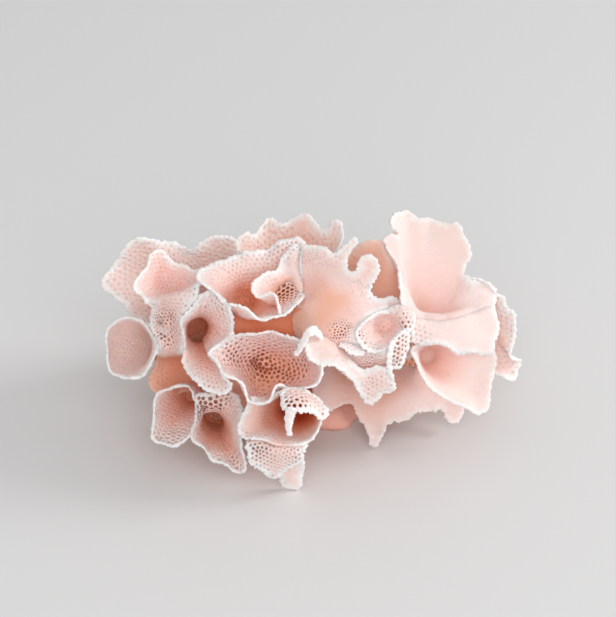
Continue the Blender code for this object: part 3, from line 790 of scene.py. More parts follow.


# Every node's surfaces. Lengths are in millimetres.
#   pitch    distance of the pores                 pores    size of the pores all over
#   open     patches with larger pores: middle, reach and pore size
#   solid    width of the rim without pores        tooth    height of the teeth along the free edge
#   stir     how far growth moves the surface      outline  closed line on the surface that it is cut to
#   deep     painted shade added to the inside's coral; below 0 less of it, as painted light on lit fronds
#   shade    patches of painted shade, as deeper coral: middle, reach and amount
#   white    share of the white rim that shows     pale     least share of the rim's white all over: painted light
COLONY = {
    "keyhole_funnel": {"pitch": 1.0, "forms": [
        cup((-22.9, 2.5, 19.5), 3.2, (-22, -7, 24.9), 3.0, [
            (-20.3, -6.5, 33.7), (-22.3, -8, 32), (-24.9, -9.3, 29.8), (-25.4, -10, 28.2), (-24.8, -11, 26.1),
            (-24.7, -12, 24.6), (-25, -13.5, 23.6), (-24, -16, 21.8), (-22.2, -18.5, 20.9), (-19.1, -20.5, 19.7),
            (-16.6, -21.2, 20.2), (-14.8, -20.7, 21.9), (-15.6, -19.5, 23.2), (-17.6, -18, 24.6),
            (-19.3, -16.4, 25.7),
            (-19.5, -15, 26.3), (-17.5, -13.3, 26.7), (-14.5, -11.8, 27.5), (-15.3, -11.4, 28.4),
            (-15.6, -11.2, 30.1),
            (-16, -11, 31.8), (-16.2, -10.6, 33), (-17.7, -9.6, 33.3), (-19, -8.2, 33.9)],
            pores=0.1, shade=[((-21.5, -11, 24), 7, 0.14)],
            open=[((-19, -18, 21), 6, 0.17), ((-19, -8, 32), 4, 0.18)]),
    ]},
    "lace_bowl": {"pitch": 1.14, "forms": [
        cup((-8.8, -8.5, 18.5), 2.0, (-8.4, -12.4, 20.4), 6.2, [
            (-19.8, -15.6, 26.4), (-17.5, -13.5, 26.7), (-14.3, -11.7, 27), (-10, -10.8, 26.7), (-6.5, -10.6, 26.6),
            (-2.8, -11.2, 27), (-0.6, -14, 26.7), (0.6, -16.6, 25.5), (1.3, -17.8, 24.3), (1.8, -18.6, 23),
            (1.4, -19.4, 21.4), (0.8, -19.8, 20.4), (-0.1, -19.8, 20.9), (-2.1, -19.9, 20.5), (-5, -20, 20.5),
            (-6.5, -20, 21.3), (-7.9, -20.8, 21), (-8.3, -22.3, 19.8), (-8.7, -23, 18.9), (-10.5, -23.3, 19.1),
            (-12.5, -23.1, 19.5), (-13.2, -22, 21.2), (-13.6, -21, 23.3), (-15, -20.2, 24.3), (-17.6, -18.2, 24.5),
            (-19, -16.8, 25.8)],
            pores=0.22, solid=0.35, tooth=0.55, deep=-0.3,
            open=[((-13.2, -10.5, 20.5), 8, 0.47), ((-9.8, -14, 16), 7.5, 0.42), ((-4, -10.5, 20.5), 6, 0.36),
                  ((-9.5, -19.5, 18.5), 5, 0.4), ((-16.5, -17, 23), 4, 0.36)]),
        sheet([(-6.5, -20.5, 20.6), (-3.8, -20, 20.7), (-1.5, -19.5, 20), (-0.2, -19.5, 19), (2.1, -20.5, 18.2)],
              [(-6.3, -24, 20.7), (-3.8, -24.5, 21.3), (-1.5, -24, 20.7), (1.2, -23.5, 19.3), (3.9, -23, 17.3)],
              [(-6.2, -27, 19.8), (-4.9, -27.5, 19.8), (-3.1, -27.3, 19.7), (-1.1, -26.5, 19.7), (0.7, -25.5, 18.9),
               (2.3, -25, 16.5), (4, -24, 16.8)],
              pitch=1.1, pores=0.34, solid=0.3, tooth=0.9, open=[((-3.8, -25.5, 20.5), 6, 0.47)]),
        sheet([(-5.2, -26.6, 20.4), (-5.2, -28, 18), (-4.9, -28.2, 16.1), (-4.1, -28.2, 14.6)],
              [(-4.3, -27.2, 20.9), (-4.6, -28.4, 18.3), (-4.5, -28.5, 16.4), (-4, -28.3, 14.7)],
              [(-3.1, -26.8, 20.4), (-3.9, -27.8, 18.2), (-4.2, -28.1, 16.3), (-3.9, -28.1, 14.6)],
              pitch=0.55, pores=0.02, stir=0.2, tooth=0.2),
    ]},
    "upper_bowl": {"pitch": 1.0, "forms": [
        cup((-13, 1.5, 27), 1.6, (-13.2, -2.4, 30.6), 4.8, [
            (-22.1, -3.5, 35.1), (-21.9, -1.5, 35.1), (-20.8, 0, 35.2), (-18.1, 2, 35.9), (-15.4, 4, 36.4),
            (-12.6, 5, 36.6), (-10.1, 5.8, 36.5), (-7.9, 6.4, 36.6), (-5.6, 7, 36.9), (-3.8, 7.2, 37.3),
            (-2.4, 6.6, 36.6), (-2.1, 5.2, 35.3), (-1.9, 3.2, 33.8), (-0.8, 1, 32.7), (-1, -1, 31.6),
            (-1.9, -4.4, 31.4), (-3, -7.6, 31.2), (-4.4, -9.8, 30.9), (-5.8, -10.3, 31), (-7.2, -10.6, 30.9),
            (-9.3, -11.4, 30.7), (-11, -11.6, 31.1), (-12.6, -11.4, 32.2), (-13.8, -11, 33.1), (-15, -10.8, 33.5),
            (-16.4, -10.6, 33), (-18, -10, 33.6), (-19.1, -9, 34.3), (-20.5, -7.5, 34.8), (-21.8, -5.5, 35.2)],
            pores=0.1,
            open=[((-18.5, -7, 31.5), 4.5, 0.2), ((-6, 5.5, 36), 6, 0.17), ((-4.6, -3.2, 30.6), 4.6, 0.46),
                  ((-6.4, -0.6, 31), 3.4, 0.4)],
            shade=[((-12.4, 1.8, 26.9), 5, 0.12), ((-5, -2.6, 30.5), 3, 0.25)]),
        cup((-5, 1.5, 28.5), 1.6, (-5.1, -2.4, 30.9), 3.3, [
            (-11.8, -6.4, 34.4), (-11, -6.8, 33.2), (-10.2, -7, 33.3), (-9.4, -7, 34.2), (-8.3, -7.4, 34.5),
            (-7.4, -8.2, 33.8), (-6.6, -9.2, 32.5), (-5.8, -9.6, 30.9), (-4.8, -9.2, 30.3), (-3.7, -7.5, 30.4),
            (-2.7, -4.5, 30.7), (-1.9, -1, 30.9), (-1.7, 1, 32), (-2.7, 3, 33.1), (-3.1, 4.9, 34.7),
            (-3.8, 6.2, 36.6),
            (-5.1, 5.4, 36.2), (-5.9, 4, 35.4), (-7.3, 2, 34.6), (-8.9, -0.4, 34.5), (-10.5, -2.8, 34.6),
            (-11.5, -4.8, 34.6)],
            pores=0.1, tooth=0.6, shade=[((-5, 0.5, 28.5), 6, 0.6)]),
    ]},
    "front_tunnel": {"pitch": 1.0, "forms": [
        cup((-3.4, -4, 6), 2.6, (-3.6, -16, 13.2), 4.4, [
            (-12.6, -20.6, 21.1), (-12.1, -21.6, 19.8), (-11.7, -22.6, 18.7), (-9.7, -22, 18.1), (-8.4, -21.2, 18.5),
            (-7.2, -20.6, 19.9), (-4.8, -20, 19.9), (-1.9, -19.8, 19.1), (0.9, -21, 17.4), (1.7, -23, 15.8),
            (1.3, -24, 14.1), (0.1, -25, 12.3), (-1.9, -26, 11.8), (-4.8, -26.4, 11.5), (-7.2, -26.4, 12.2),
            (-9.6, -26.2, 13), (-11.9, -25.6, 12.7), (-13.7, -24.6, 12.5), (-14.3, -23.4, 13.4), (-13.8, -22.6, 14.6),
            (-12.7, -21.8, 17)],
            pores=0.07, tooth=0.6, stir=0.6, deep=0.15, open=[((-12, -25, 14), 3, 0.3)]),
        sheet([(-12.4, -23.2, 11.3), (-9.2, -23.6, 11.2), (-6.9, -23.8, 10.9), (-4.5, -23.9, 10.5),
        (-1.9, -23.6, 10.5)],
              [(-12.4, -25.4, 11.7), (-9.2, -25.9, 12), (-6.9, -26.1, 11.6), (-4.5, -26.2, 11), (-1.9, -25.8, 10.9)],
              [(-12.1, -26.3, 10.3), (-9.2, -26.9, 10.4), (-6.9, -27, 9.9), (-4.5, -27, 9.4), (-2.1, -26.4, 8.7)],
              [(-12, -26.4, 8.1), (-10.8, -26.8, 7.9), (-9.5, -27, 6.2), (-8, -26.5, 2.9), (-7.4, -26.6, 4.2),
               (-6.5, -26.7, 5.6), (-5.3, -26.9, 6.4), (-4, -27, 7.2), (-2.2, -26.6, 7.4)],
              pitch=0.85, pores=0.17, solid=0.3, tooth=0.8,
              open=[((-10, -27, 9.5), 4, 0.3), ((-3, -26.6, 8.8), 3, 0.26)]),
        sheet([(-6.4, -24.8, 7.4), (-4.1, -25.8, 8), (-1.9, -25.4, 9.6)],
              [(-6.4, -24.9, 3.9), (-4.3, -25.9, 4.7), (-2.1, -25.4, 4.6)],
              [(-6.6, -24.4, 0.4), (-4.3, -25, 0.4), (-2, -24.6, 0.4)], pores=0.05, pitch=0.9),
    ]},
    "lower_left_cup": {"pitch": 1.08, "forms": [
        cup((-23.6, -3, 8), 1.8, (-25.5, -10.4, 11.3), 3.6, [
            (-23.8, -12.8, 14.8), (-24.8, -12, 16), (-26.5, -11.6, 16.1), (-28.9, -12.4, 15.5), (-30.5, -14, 15),
            (-31.2, -16, 13.5), (-31.3, -17.6, 12.1), (-30.9, -19.4, 10.6), (-30.9, -20.6, 9.2), (-29.9, -21, 8.2),
            (-28.3, -20.8, 8.5), (-26.3, -20.8, 8.5), (-24.6, -20.8, 8.8), (-23.4, -20.5, 9.6), (-23.2, -18.8, 10.9),
            (-22.8, -16.6, 12.4), (-23.1, -14.6, 13.5)],
            pores=0.17, solid=0.2, tooth=0.6,
            open=[((-29.5, -19.5, 9), 8, 0.46), ((-24.5, -19.5, 9), 6, 0.42), ((-30, -14, 14), 4, 0.3)]),
    ]},
    "lower_left_fold": {"pitch": 1.08, "forms": [
        cup((-19.6, -3.5, 4), 2.6, (-19.2, -14.6, 8.1), 3.0, [
            (-23.6, -12.8, 14.6), (-21, -13, 15), (-18.1, -13.6, 15.4), (-16, -14.6, 15.5), (-14.9, -17, 15),
            (-14.1, -19.4, 14.3), (-13.5, -21.6, 13.6), (-13.2, -23.2, 11.9), (-13.1, -24.4, 9.9),
            (-12.4, -25.2, 7.4),
            (-13, -25.2, 4.9), (-14.7, -25, 4.1), (-15.7, -24.8, 5.1), (-16.3, -24.6, 6.5), (-18.1, -24.4, 6.8),
            (-20, -23.8, 7.4), (-21, -23, 8.6), (-21.7, -22, 9.4), (-22.9, -21, 9.7), (-23.2, -18.8, 10.9),
            (-22.8, -16.6, 12.4), (-23.1, -14.6, 13.5)],
            pores=0.2, solid=0.25, tooth=0.6, deep=0.12,
            open=[((-21.6, -14, 13), 6.5, 0.48), ((-18.5, -23.5, 7), 6, 0.44), ((-14.5, -24.8, 5), 5, 0.44)]),
    ]},
    "right_funnel": {"pitch": 1.0, "forms": [
        cup((14.4, -5.2, 26), 1.4, (14.4, -7.8, 27.5), 3.0, [
            (8, -12, 27.7), (8.7, -11.2, 29.1), (10.1, -10, 29.7), (11.8, -8, 29.7), (14.4, -5.6, 29.2),
            (16.9, -4, 29.5), (18.5, -3.4, 28.8), (19.4, -4, 27.8), (19.8, -6.2, 26.9), (19.1, -8, 26.1),
            (17.2, -9.4, 26.2), (15.8, -10.6, 26), (14.4, -12, 25), (13, -12.8, 24.6), (11.7, -13.4, 24.5),
            (10.1, -13.6, 25.4), (8.8, -13, 26.6)],
            pores=0.085, stir=0.6, tooth=0.6, deep=-0.1,
            open=[((9.5, -12.5, 26.5), 3.5, 0.32), ((19, -6, 28), 5, 0.24)]),
        sheet([(16.1, -11, 26.7), (17.3, -10.4, 27.1), (18.5, -9.4, 27)],
              [(15, -12.4, 23.9), (16.5, -12, 23.9), (18.5, -11, 24.1)],
              [(14.5, -13.6, 19.1), (15.6, -13, 20.6), (17.2, -12.4, 20.4), (17.8, -11.8, 22.1)],
              pores=0.3, solid=0.4, stir=0.4, pitch=0.95, tooth=0.6),
        sheet([(16.1, -11.4, 26.9), (14.9, -12.6, 26.1), (14.5, -13.3, 24.5), (14.4, -13.8, 22.5), (14.6, -14, 20.3),
               (15.1, -14.2, 18.9), (15.6, -14.4, 17.7)],
              [(16.7, -11.2, 26.6), (15.7, -12.3, 25.8), (15.3, -13, 24.3), (15.2, -13.5, 22.4), (15.4, -13.7, 20.5),
               (15.8, -14, 19.2), (16.2, -14.2, 18)],
              pores=0.03, stir=0.2, pitch=0.7, tooth=0.25),
    ]},
    "centre_sheet": {"pitch": 1.0, "forms": [
        sheet([(-3.7, 8.5, 39.1), (-0.1, 6.4, 40.8), (3.4, 4.6, 42.7), (6.3, 3.2, 44.4), (9.2, 1.8, 44.3),
               (12.3, 0.9, 42.6), (15.4, 0.2, 40.3), (17.8, -0.4, 37)],
              [(-3.6, 5.2, 33.9), (-0.5, 4.6, 36.3), (2.4, 3.4, 36.6), (5, 2, 36.5), (7.7, 0.5, 35.8),
               (10.4, -0.8, 34.3), (13.6, -2, 31.8), (17.7, -2.6, 29.6)],
              [(-2.8, -1, 30.4), (0.8, -1, 32.8), (4.4, -2, 32.8), (8, -3, 31.8), (11.4, -4, 30.2), (17, -4.4, 27.8)],
              [(-3.6, -6.4, 28.3), (-0.9, -7.8, 30.2), (3, -8.4, 30.4), (6.4, -8.8, 29.8), (9.9, -8.5, 29.2),
               (14.6, -8, 27.4)],
              [(-3.4, -8.4, 25.6), (-0.9, -11.4, 27.3), (2.6, -13, 27.2), (6, -12.8, 26.2), (9.9, -12.4, 25.4),
               (15.2, -12, 24.6)],
              [(-2.2, -11, 24.2), (2.4, -13, 22.4), (5.3, -12.6, 18.9), (8.1, -12.2, 16.3), (11.2, -11.9, 15.6),
               (14.4, -11.6, 16.8), (17, -11.2, 19.8)],
              outline=[
                  (-2.4, 5.9, 36.3), (-0.4, 5.2, 37.2), (1.2, 4.4, 37.3), (2.7, 3.7, 37.5), (3.9, 2.9, 37.1),
                  (4.5, 2.7, 37.4), (5.3, 2.5, 38.3), (6.5, 2.2, 39.8), (7.7, 1.8, 41.2), (8.9, 1.5, 42.7),
                  (9.2, 1.3, 41.9), (8.6, 1.3, 40.2), (7.6, 1.4, 38.5), (6.7, 1.4, 37), (6.3, 0.9, 35.5),
                  (6.7, 0.2, 34.6), (7.9, -0.4, 34.3), (8.9, -0.3, 34.9), (9.2, 0, 36), (9.5, 0.1, 37.2),
                  (10.8, 0, 37.9), (12.3, -0.3, 37.5), (13, -0.8, 35.7), (12.5, -1.3, 33.8), (11.5, -1.8, 32.4),
                  (11.3, -2.5, 31.3), (12, -3.1, 30.6), (13.3, -3.1, 30.2), (15.2, -2.8, 30.2), (17.2, -2.7, 29.7),
                  (16.8, -4.2, 28.1), (14.4, -4.8, 28.7), (11.8, -6.8, 29.1), (10, -8.8, 29), (8.4, -10.5, 28.4),
                  (7.8, -11.7, 27.6), (8.4, -12.2, 26.5), (10.3, -12.4, 25.2), (13, -12.3, 24.3), (14.9, -12.1, 23.8),
                  (15.8, -11.6, 21), (14.4, -11.7, 17.6), (11.6, -11.9, 16.1), (8.5, -12.2, 16.7), (5.7, -12.6, 19.4),
                  (2.8, -12.9, 22.4), (0.2, -12.6, 24.2), (-2, -10.6, 25.2), (-3.3, -8.6, 26), (-3.5, -7, 27.8),
                  (-3.3, -5, 29.2), (-2.6, -2, 30.5), (-2.3, 0.2, 31.3), (-3, 2.8, 32.6), (-3.3, 4.9, 33.8)],
              pores=0.055, stir=0.5, deep=-0.1,
              shade=[((1.5, -9.5, 29.5), 11, 0.2), ((-1, -2, 32), 5, 0.12), ((-3, -8, 27.5), 4, 0.3)],
              open=[((5.3, -11.5, 28.4), 3, 0.2), ((-1, 5, 36.5), 3, 0.12), ((9.2, -12.6, 21.2), 5, 0.22)]),
        sheet([(-4.3, -17.8, 26.5), (-3.2, -17.2, 27.5), (-1.9, -16.4, 29.9), (-0.3, -15.8, 32), (1.2, -15.2, 31),
               (2.5, -15, 28.6)],
              [(-3.2, -18.3, 26.8), (-2, -17.8, 27.9), (-1.1, -17.3, 29.5), (-0.2, -16.9, 30.6), (0.9, -16.4, 30.3),
               (1.8, -16, 28.8)], pores=0.04, pitch=0.8, stir=0.3, tooth=0.2),
        sheet([(-2, -14.6, 27.9), (-0.6, -12.2, 27.6), (1.4, -12.2, 27.9), (3.7, -12.6, 26.9), (5.7, -13.3, 25),
               (7.6, -14.3, 22.8), (9.6, -14.2, 20.8), (11.5, -13.7, 21), (13.8, -13.5, 21.1), (16, -14.1, 18.5)],
              [(-1.9, -16.8, 28.4), (-0.3, -15.9, 28.9), (1.6, -15.2, 28.5), (3.9, -15, 26.6), (5.8, -15, 24.8),
               (7.6, -14.8, 22.7), (9.6, -14.4, 20.6), (11.5, -13.8, 20.9), (13.8, -13.6, 21), (16, -14.2, 18.4)],
              [(-1.3, -17.4, 27.2), (0.8, -16.8, 26.8), (2.7, -16.4, 26), (4.9, -16, 24.4), (6.8, -15.8, 22.4),
               (8.6, -15.4, 20.3), (10.3, -15, 18.6), (12.3, -14.8, 18.5), (14.4, -14.8, 18), (16.4, -14.8, 17)],
              [(-0.9, -17.9, 26), (1, -17.6, 24.1), (2.7, -17.2, 24.2), (4.5, -16.8, 23.4), (6.2, -16.4, 21.9),
               (7.8, -16, 19.5), (9, -15.7, 17.2), (10, -15.5, 15), (11.1, -15.4, 13.6), (12.4, -15, 14.4),
               (13.9, -14.9, 15.6), (15.8, -14.8, 15.9)],
              pores=0.05, pitch=0.9, stir=0.4, open=[((12.5, -14.8, 17), 4, 0.2)]),
        sheet([(5.1, -12.6, 26.5), (6.6, -12.2, 26.3), (8.4, -12.2, 25.6), (9.9, -12.6, 24.6)],
              [(5.6, -14.6, 26.4), (7, -15, 25.6), (8.5, -15, 25.1), (9.8, -14.4, 24.8)],
              pores=0.12, solid=0.3, tooth=0.6, stir=0.3, pitch=0.8),
    ]},
    # The right fronds are painted paler, with less shade, where the light falls on them: pale, and deep below 0.
    "right_top_lobe": {"forms": [
        cup((22.5, 4, 20), 2.2, (24, 3.2, 25.4), 5.2, [
            (18.4, -5, 27.6), (16.9, -4, 30.4), (17.3, -2, 32.7), (17.1, 1, 34.2), (16.5, 4, 35), (14.9, 6.5, 36),
            (14.3, 8, 36.8), (15.5, 8.6, 37.6), (18, 9.5, 36.9), (15.8, 11, 37.6), (15.6, 12.5, 38.4), (16.3, 14, 39),
            (18.3, 15.2, 39), (20.1, 15.2, 39.3), (21, 14.4, 38.1), (24.2, 14.4, 38), (26.6, 13.6, 37.4),
            (28.6, 13, 37.8), (30, 12, 36.6), (31.4, 11, 35.4), (31.9, 10, 33.5), (31.2, 9, 31.4), (30.4, 8.4, 29.5),
            (30.8, 7, 28.4), (32.8, 6.4, 28.5), (34.7, 6.4, 28), (36.2, 6, 26.2), (36, 3.6, 23.4), (33, 1.2, 23.5),
            (29.7, -0.7, 23.5), (27.2, -2.3, 23.6), (24.7, -3.1, 23.9), (22.3, -3.9, 24.8), (20.1, -4.7, 25.9)],
            pores=0.04, deep=-0.3, white=0.8, pale=0.42, shade=[((24.5, 0, 25.3), 8, 0.04)]),
        sheet([(5.5, 6, 33.5), (8, 7, 35), (11, 7.5, 36.3), (14.5, 7.5, 37)],
              [(7, 5, 30), (10, 5, 30.5), (13, 4.5, 31), (17.5, 3, 31.5)],
              [(9, 2, 27.5), (12, 1, 27), (15.5, 0, 27), (19, 0, 28)], pores=0.05, deep=0.35, white=0.3),
    ]},
    "right_mid_sheet": {"forms": [
        sheet([(19.6, -2.6, 26), (20.8, -2.4, 25.6), (22.7, -1.8, 25), (25, -1, 24.4), (27.3, -0.2, 24.1),
               (29.6, 1.2, 24), (32.4, 3.2, 24), (34.8, 5, 23.8)],
              [(18.6, -5.2, 27.2), (20.1, -5, 26.8), (22.3, -4.2, 25.9), (24.8, -3.4, 25.1), (27.3, -2.6, 24.8),
               (29.8, -1, 24.7), (33.1, 1, 24.6), (36.1, 3, 24)],
              [(18.8, -7.6, 25), (22.2, -6.6, 24.4), (24.7, -6, 23.4), (27.2, -5.2, 22.5), (29.7, -4, 21.9),
               (33, -2, 21.2), (36.8, 0.6, 20.4)],
              [(19.4, -9, 22.4), (21.8, -8.5, 23.4), (23.9, -8, 22.2), (26.1, -7.5, 21), (28.2, -7, 20.2),
               (31.5, -6, 19.4), (35.8, -4, 19)], pores=0.04, deep=-0.3, white=0.8, pale=0.36,
              open=[((21, -7.5, 24), 4, 0.15)]),
    ]},
    "right_lower_funnel": {"forms": [
        cup((23, 2, 13.6), 1.8, (24.4, -3.5, 16.6), 3.6, [
            (19.4, -9, 22.3), (21.8, -8.5, 23.3), (23.9, -8, 22.1), (26.1, -7.5, 20.9), (28.2, -7, 20.1),
            (31.5, -6, 19.3), (35.8, -4, 18.9), (36.2, -4.4, 15.7), (34.9, -7, 10.2), (34.5, -9, 7.7),
            (30.8, -11, 9.1),
            (28.7, -11.3, 11), (26.2, -11.4, 12.8), (23.3, -11.4, 14.5), (21.5, -11, 16.7), (20.1, -10, 19.8)],
            pores=0.04, deep=-0.5, white=0.8, pale=0.46, shade=[((24.4, -4.5, 16.6), 8, 0.08)]),
    ]},
    "right_edge_lobe": {"forms": [
        sheet([(29, 9, 28), (27, 9, 22), (26, 8, 16), (26, 6, 11)],
              [(33, 6.5, 29), (34, 7, 25), (35, 6.5, 20), (35, 5, 14), (34, 2, 10)],
              [(34.5, 6, 30), (36, 5.5, 26.5), (38.5, 6.5, 24.5), (39, 5.5, 22), (41, 5.5, 21), (40.5, 4, 18.5),
               (40, 2, 14), (42.5, 4, 11.5), (41.5, 2, 8), (39.5, 0, 8.5), (37.5, -1, 10)], pores=0.1),
    ]},
    "right_low_sheet": {"forms": [
        sheet([(-1, 1, 17), (3, 2, 16), (7, 3, 14), (13, 2, 13), (19, 1, 12), (25, 4, 10), (30, 6, 9)],
              [(-0.5, -4, 13), (3, -4.5, 12), (7, -4, 11.5), (13, -5, 10), (19, -5.5, 10), (25, -2, 8.5),
              (30, 0, 7.5)],
              [(0, -8, 7.4), (3.5, -8, 7), (7.5, -7, 7.6), (9, -8.4, 5.4), (10.5, -10.4, 2.6), (12.4, -11.6, 0.4),
               (14, -10.6, 3.4), (16, -9.4, 5.4), (18.5, -9, 6), (21, -7.4, 6), (25.5, -5, 5), (29, -7, 2.5),
               (30.5, -4, 4)],
              pores=0.04, tooth=0.6, deep=-0.2, white=0.7, pale=0.36, shade=[((11, -5, 10), 10, 0.2)]),
    ]},
    "left_cup": {"pitch": 0.95, "forms": [
        cup((-30, 3, 16), 1.8, (-35, -3.6, 19.6), 4.3, [
            (-40.7, -6, 22.3), (-40.5, -5.2, 24.2), (-39.6, -4.2, 25.2), (-37.9, -3.4, 25.6), (-35.8, -3, 25.5),
            (-34, -3.6, 25.5), (-32.6, -5, 25.3), (-31.5, -7, 24.4), (-30.9, -9.2, 22.8), (-31.3, -11.2, 21.1),
            (-32.5, -12.6, 19.6), (-33.9, -13.4, 18.3), (-35.7, -13.4, 17.9), (-37.3, -12.8, 17.9),
            (-39.1, -11.6, 18.6),
            (-40, -10.4, 19.9), (-40.6, -8.2, 21.2)],
            pores=0.13, deep=-0.35, pale=0.4, open=[((-37.8, -8.3, 17), 5, 0.2)]),
    ]},
    "upper_left_cup": {"pitch": 1.0, "forms": [
        sheet([(-34.3, -5, 33.3), (-33.8, -4, 35), (-33, -1, 35.7), (-31.7, 3, 36.3), (-29.5, 4.5, 35.7),
               (-26.4, 4, 34.2), (-23.4, 1.2, 33.5), (-21.7, -1.6, 35.4)],
              [(-33.1, -4.8, 32.5), (-32, -2, 31.8), (-30.8, 2.2, 30.9), (-28.5, 3.8, 30.5), (-26.1, 2.4, 30.9),
               (-23.4, 0.2, 32), (-21.5, -2.6, 34.2)],
              [(-32.5, -5.8, 32.3), (-31.1, -4.4, 31.3), (-29.2, -2.6, 30.4), (-27, -1.6, 30.1), (-24.8, -2.4, 31.3),
               (-23, -3.6, 33), (-21.4, -4.6, 34.2)],
              [(-32.1, -6.4, 32), (-30.2, -6.6, 32.6), (-28.1, -6.5, 33), (-25.9, -6.3, 33.4), (-24.1, -5.9, 33.9),
               (-22, -5.4, 34)],
              [(-31.1, -5.8, 29.9), (-28.8, -6.6, 31.1), (-26.7, -7.4, 31.7), (-24.4, -7.6, 31.9),
               (-22.4, -7.4, 32.4)],
              [(-31.9, -5.8, 26.3), (-29.9, -6.4, 27.1), (-27.5, -7.4, 28), (-25, -9, 29.6)],
              [(-31.1, -7.6, 24), (-29.2, -7.6, 24.2), (-27.1, -8.2, 24.6), (-24.9, -10.6, 26)],
              [(-31, -9.4, 21.4), (-29.3, -8.4, 20.6), (-27.2, -8, 20.8), (-24.9, -10.5, 22.4)],
              [(-30.6, -5.6, 19), (-28.8, -4.4, 17.8), (-26.6, -3.6, 17.4), (-24, -4.4, 18.6)],
              [(-30, -3, 17.8), (-28.4, -1.8, 16.4), (-26, -1, 16), (-23.5, -1.2, 16.8)],
              pores=0.12,
              open=[((-27.8, -7.4, 26.7), 5, 0.34), ((-31, 1.8, 32.7), 6, 0.17), ((-29, -8.4, 23.2), 3, 0.3)],
              shade=[((-27.5, -5, 18), 7, 0.4), ((-27.5, -8, 27), 6, 0.08)]),
    ]},
    "rear_left_ruffle": {"forms": [
        sheet([(-22, 6, 18), (-21, 8, 21), (-18, 10, 24), (-13, 11, 26)],
              [(-31, 3, 21), (-32, 6, 26), (-28, 9.5, 29), (-22, 11.5, 30.5), (-15, 12, 31)],
              [(-36.5, 2, 22.5), (-40, 4, 27), (-41, 6, 30), (-38.5, 8, 33), (-36, 9, 36), (-32.5, 10, 36),
               (-28.5, 12, 34.5), (-24.5, 11.5, 33), (-20.5, 12.5, 35), (-15.5, 12.5, 35)],
            pores=0.13, tooth=0.6, pale=0.3),
    ]},
    # The left low sheets sit in shade, and their deep coral is painted shade.
    "left_low_sheet": {"forms": [
        sheet([(-20, -8, 19.5), (-15.5, -9.2, 19.5), (-11, -9, 18)],
              [(-20, -8.5, 14), (-15.5, -10.6, 13.5), (-12, -10, 13)],
              [(-19, -8.5, 9), (-15.5, -11, 8), (-12, -10, 8)], pores=0.04, deep=0.3, white=0.0, pale=0.12, stir=0.2),
        sheet([(-20, 2, 20), (-19, 1, 15), (-18, -3, 9)],
              [(-25, 1, 18.5), (-25, -2, 14.5), (-25, -5, 10)],
              [(-30, -4, 20), (-31.5, -6, 15), (-31, -7.5, 12), (-28.5, -8, 10)], pores=0.06, deep=0.5, white=0.2),
    ]},
    "back_crown": {"pitch": 1.25, "forms": [
        cup((-5, 6.5, 20), 2.4, (-5, 13, 26), 5.4, [
            (-15.5, 14, 31), (-14, 18, 33), (-12, 19, 31), (-9, 23, 34), (-6.5, 22, 32), (-4.5, 23, 33),
            (-2, 24, 35), (0.5, 22, 34), (2.5, 20, 32.5), (4, 21, 35.5), (6, 18, 33), (5, 12, 32), (0, 9.5, 31),
            (-8, 9, 31)], pores=0.09, deep=0.14, open=[((-8, 18, 30), 7, 0.18)]),
    ]},
    "back_left_cup": {"pitch": 1.35, "forms": [
        cup((-15, 6.5, 16), 2.6, (-23, 13.5, 19), 6.0, [
            (-37, 14, 20), (-33, 12.5, 26), (-26, 14.5, 28.5), (-20, 18.5, 26), (-17.5, 22, 20), (-20, 23.5, 14.5),
            (-27, 21.5, 11), (-34, 17.5, 14)], 4, 1.4, pores=0.16, open=[((-30, 15, 18), 9, 0.34)]),
    ]},
    "back_right_cup": {"pitch": 1.35, "forms": [
        cup((12, 7, 18), 2.6, (20, 13.5, 21), 6.0, [
            (11, 21, 25), (16, 18, 30), (22, 17.5, 31), (28, 15.5, 28), (33, 13.5, 22), (32, 15.5, 16),
            (27, 19.5, 12), (19, 23, 12), (12.5, 24, 15.5), (10, 23.5, 20)], 5, 1.3,
            pores=0.16, open=[((24, 17, 20), 9, 0.34)]),
    ]},
    "back_middle_cup": {"pitch": 1.35, "forms": [
        cup((-2, 5.5, 13), 2.8, (-2.5, 16, 14), 6.6, [
            (-15, 22.5, 19.5), (-11, 20.5, 24.5), (-3, 21.5, 26), (5, 21.5, 24.5), (8.5, 22, 19), (8.5, 25, 12),
            (5, 25.5, 6.5), (-3, 26.5, 4.5), (-10.5, 25.5, 6.5), (-15.5, 24.5, 13)], 5, 1.4,
            pores=0.16, open=[((-4, 23, 14), 10, 0.36)]),
    ]},
    "back_left_skirt": {"pitch": 1.4, "forms": [
        cup((-12, 4.5, 8), 2.4, (-19, 12, 6.5), 4.0, [
            (-31, 16, 8.5), (-24, 20, 9.5), (-17, 22, 9.5), (-12.5, 23, 5.5), (-13, 20.5, 1.2), (-21, 18, 0.8),
            (-29, 13.5, 2.5)], pores=0.16, open=[((-24, 16, 6), 7, 0.32)]),
    ]},
    "back_right_skirt": {"pitch": 1.4, "forms": [
        cup((10, 5.5, 8), 2.4, (18, 12, 6.5), 4.0, [
            (12, 23.5, 9), (19, 20.5, 9.5), (27, 16, 9.5), (33, 11, 8), (31, 10.5, 3), (23, 15, 0.8), (14, 19.5, 0.8),
            (10, 21.5, 4.5)], pores=0.16, open=[((24, 16, 6), 7, 0.32)]),
    ]},
    # The inner wall and the slit wall behind the bowls' edges are coloured with dark painted shade.
    "spine_wall": {"pitch": 1.6, "forms": [
        sheet([(-9, 1.5, 4), (-4, -1, 4), (3, 2.5, 4), (8, 0.5, 4)],
              [(-15, 2, 9), (-6, -2, 9), (3, 3, 10), (13, 0, 9)],
              [(-22, 4, 17), (-10, 1, 18), (2, 3, 18), (13, 3, 17), (23, 5, 16)],
              [(-24, 5, 25), (-12, 6, 25), (0, 5, 28), (10, 4, 26), (18, 6, 24)], pores=0.05, deep=0.6),
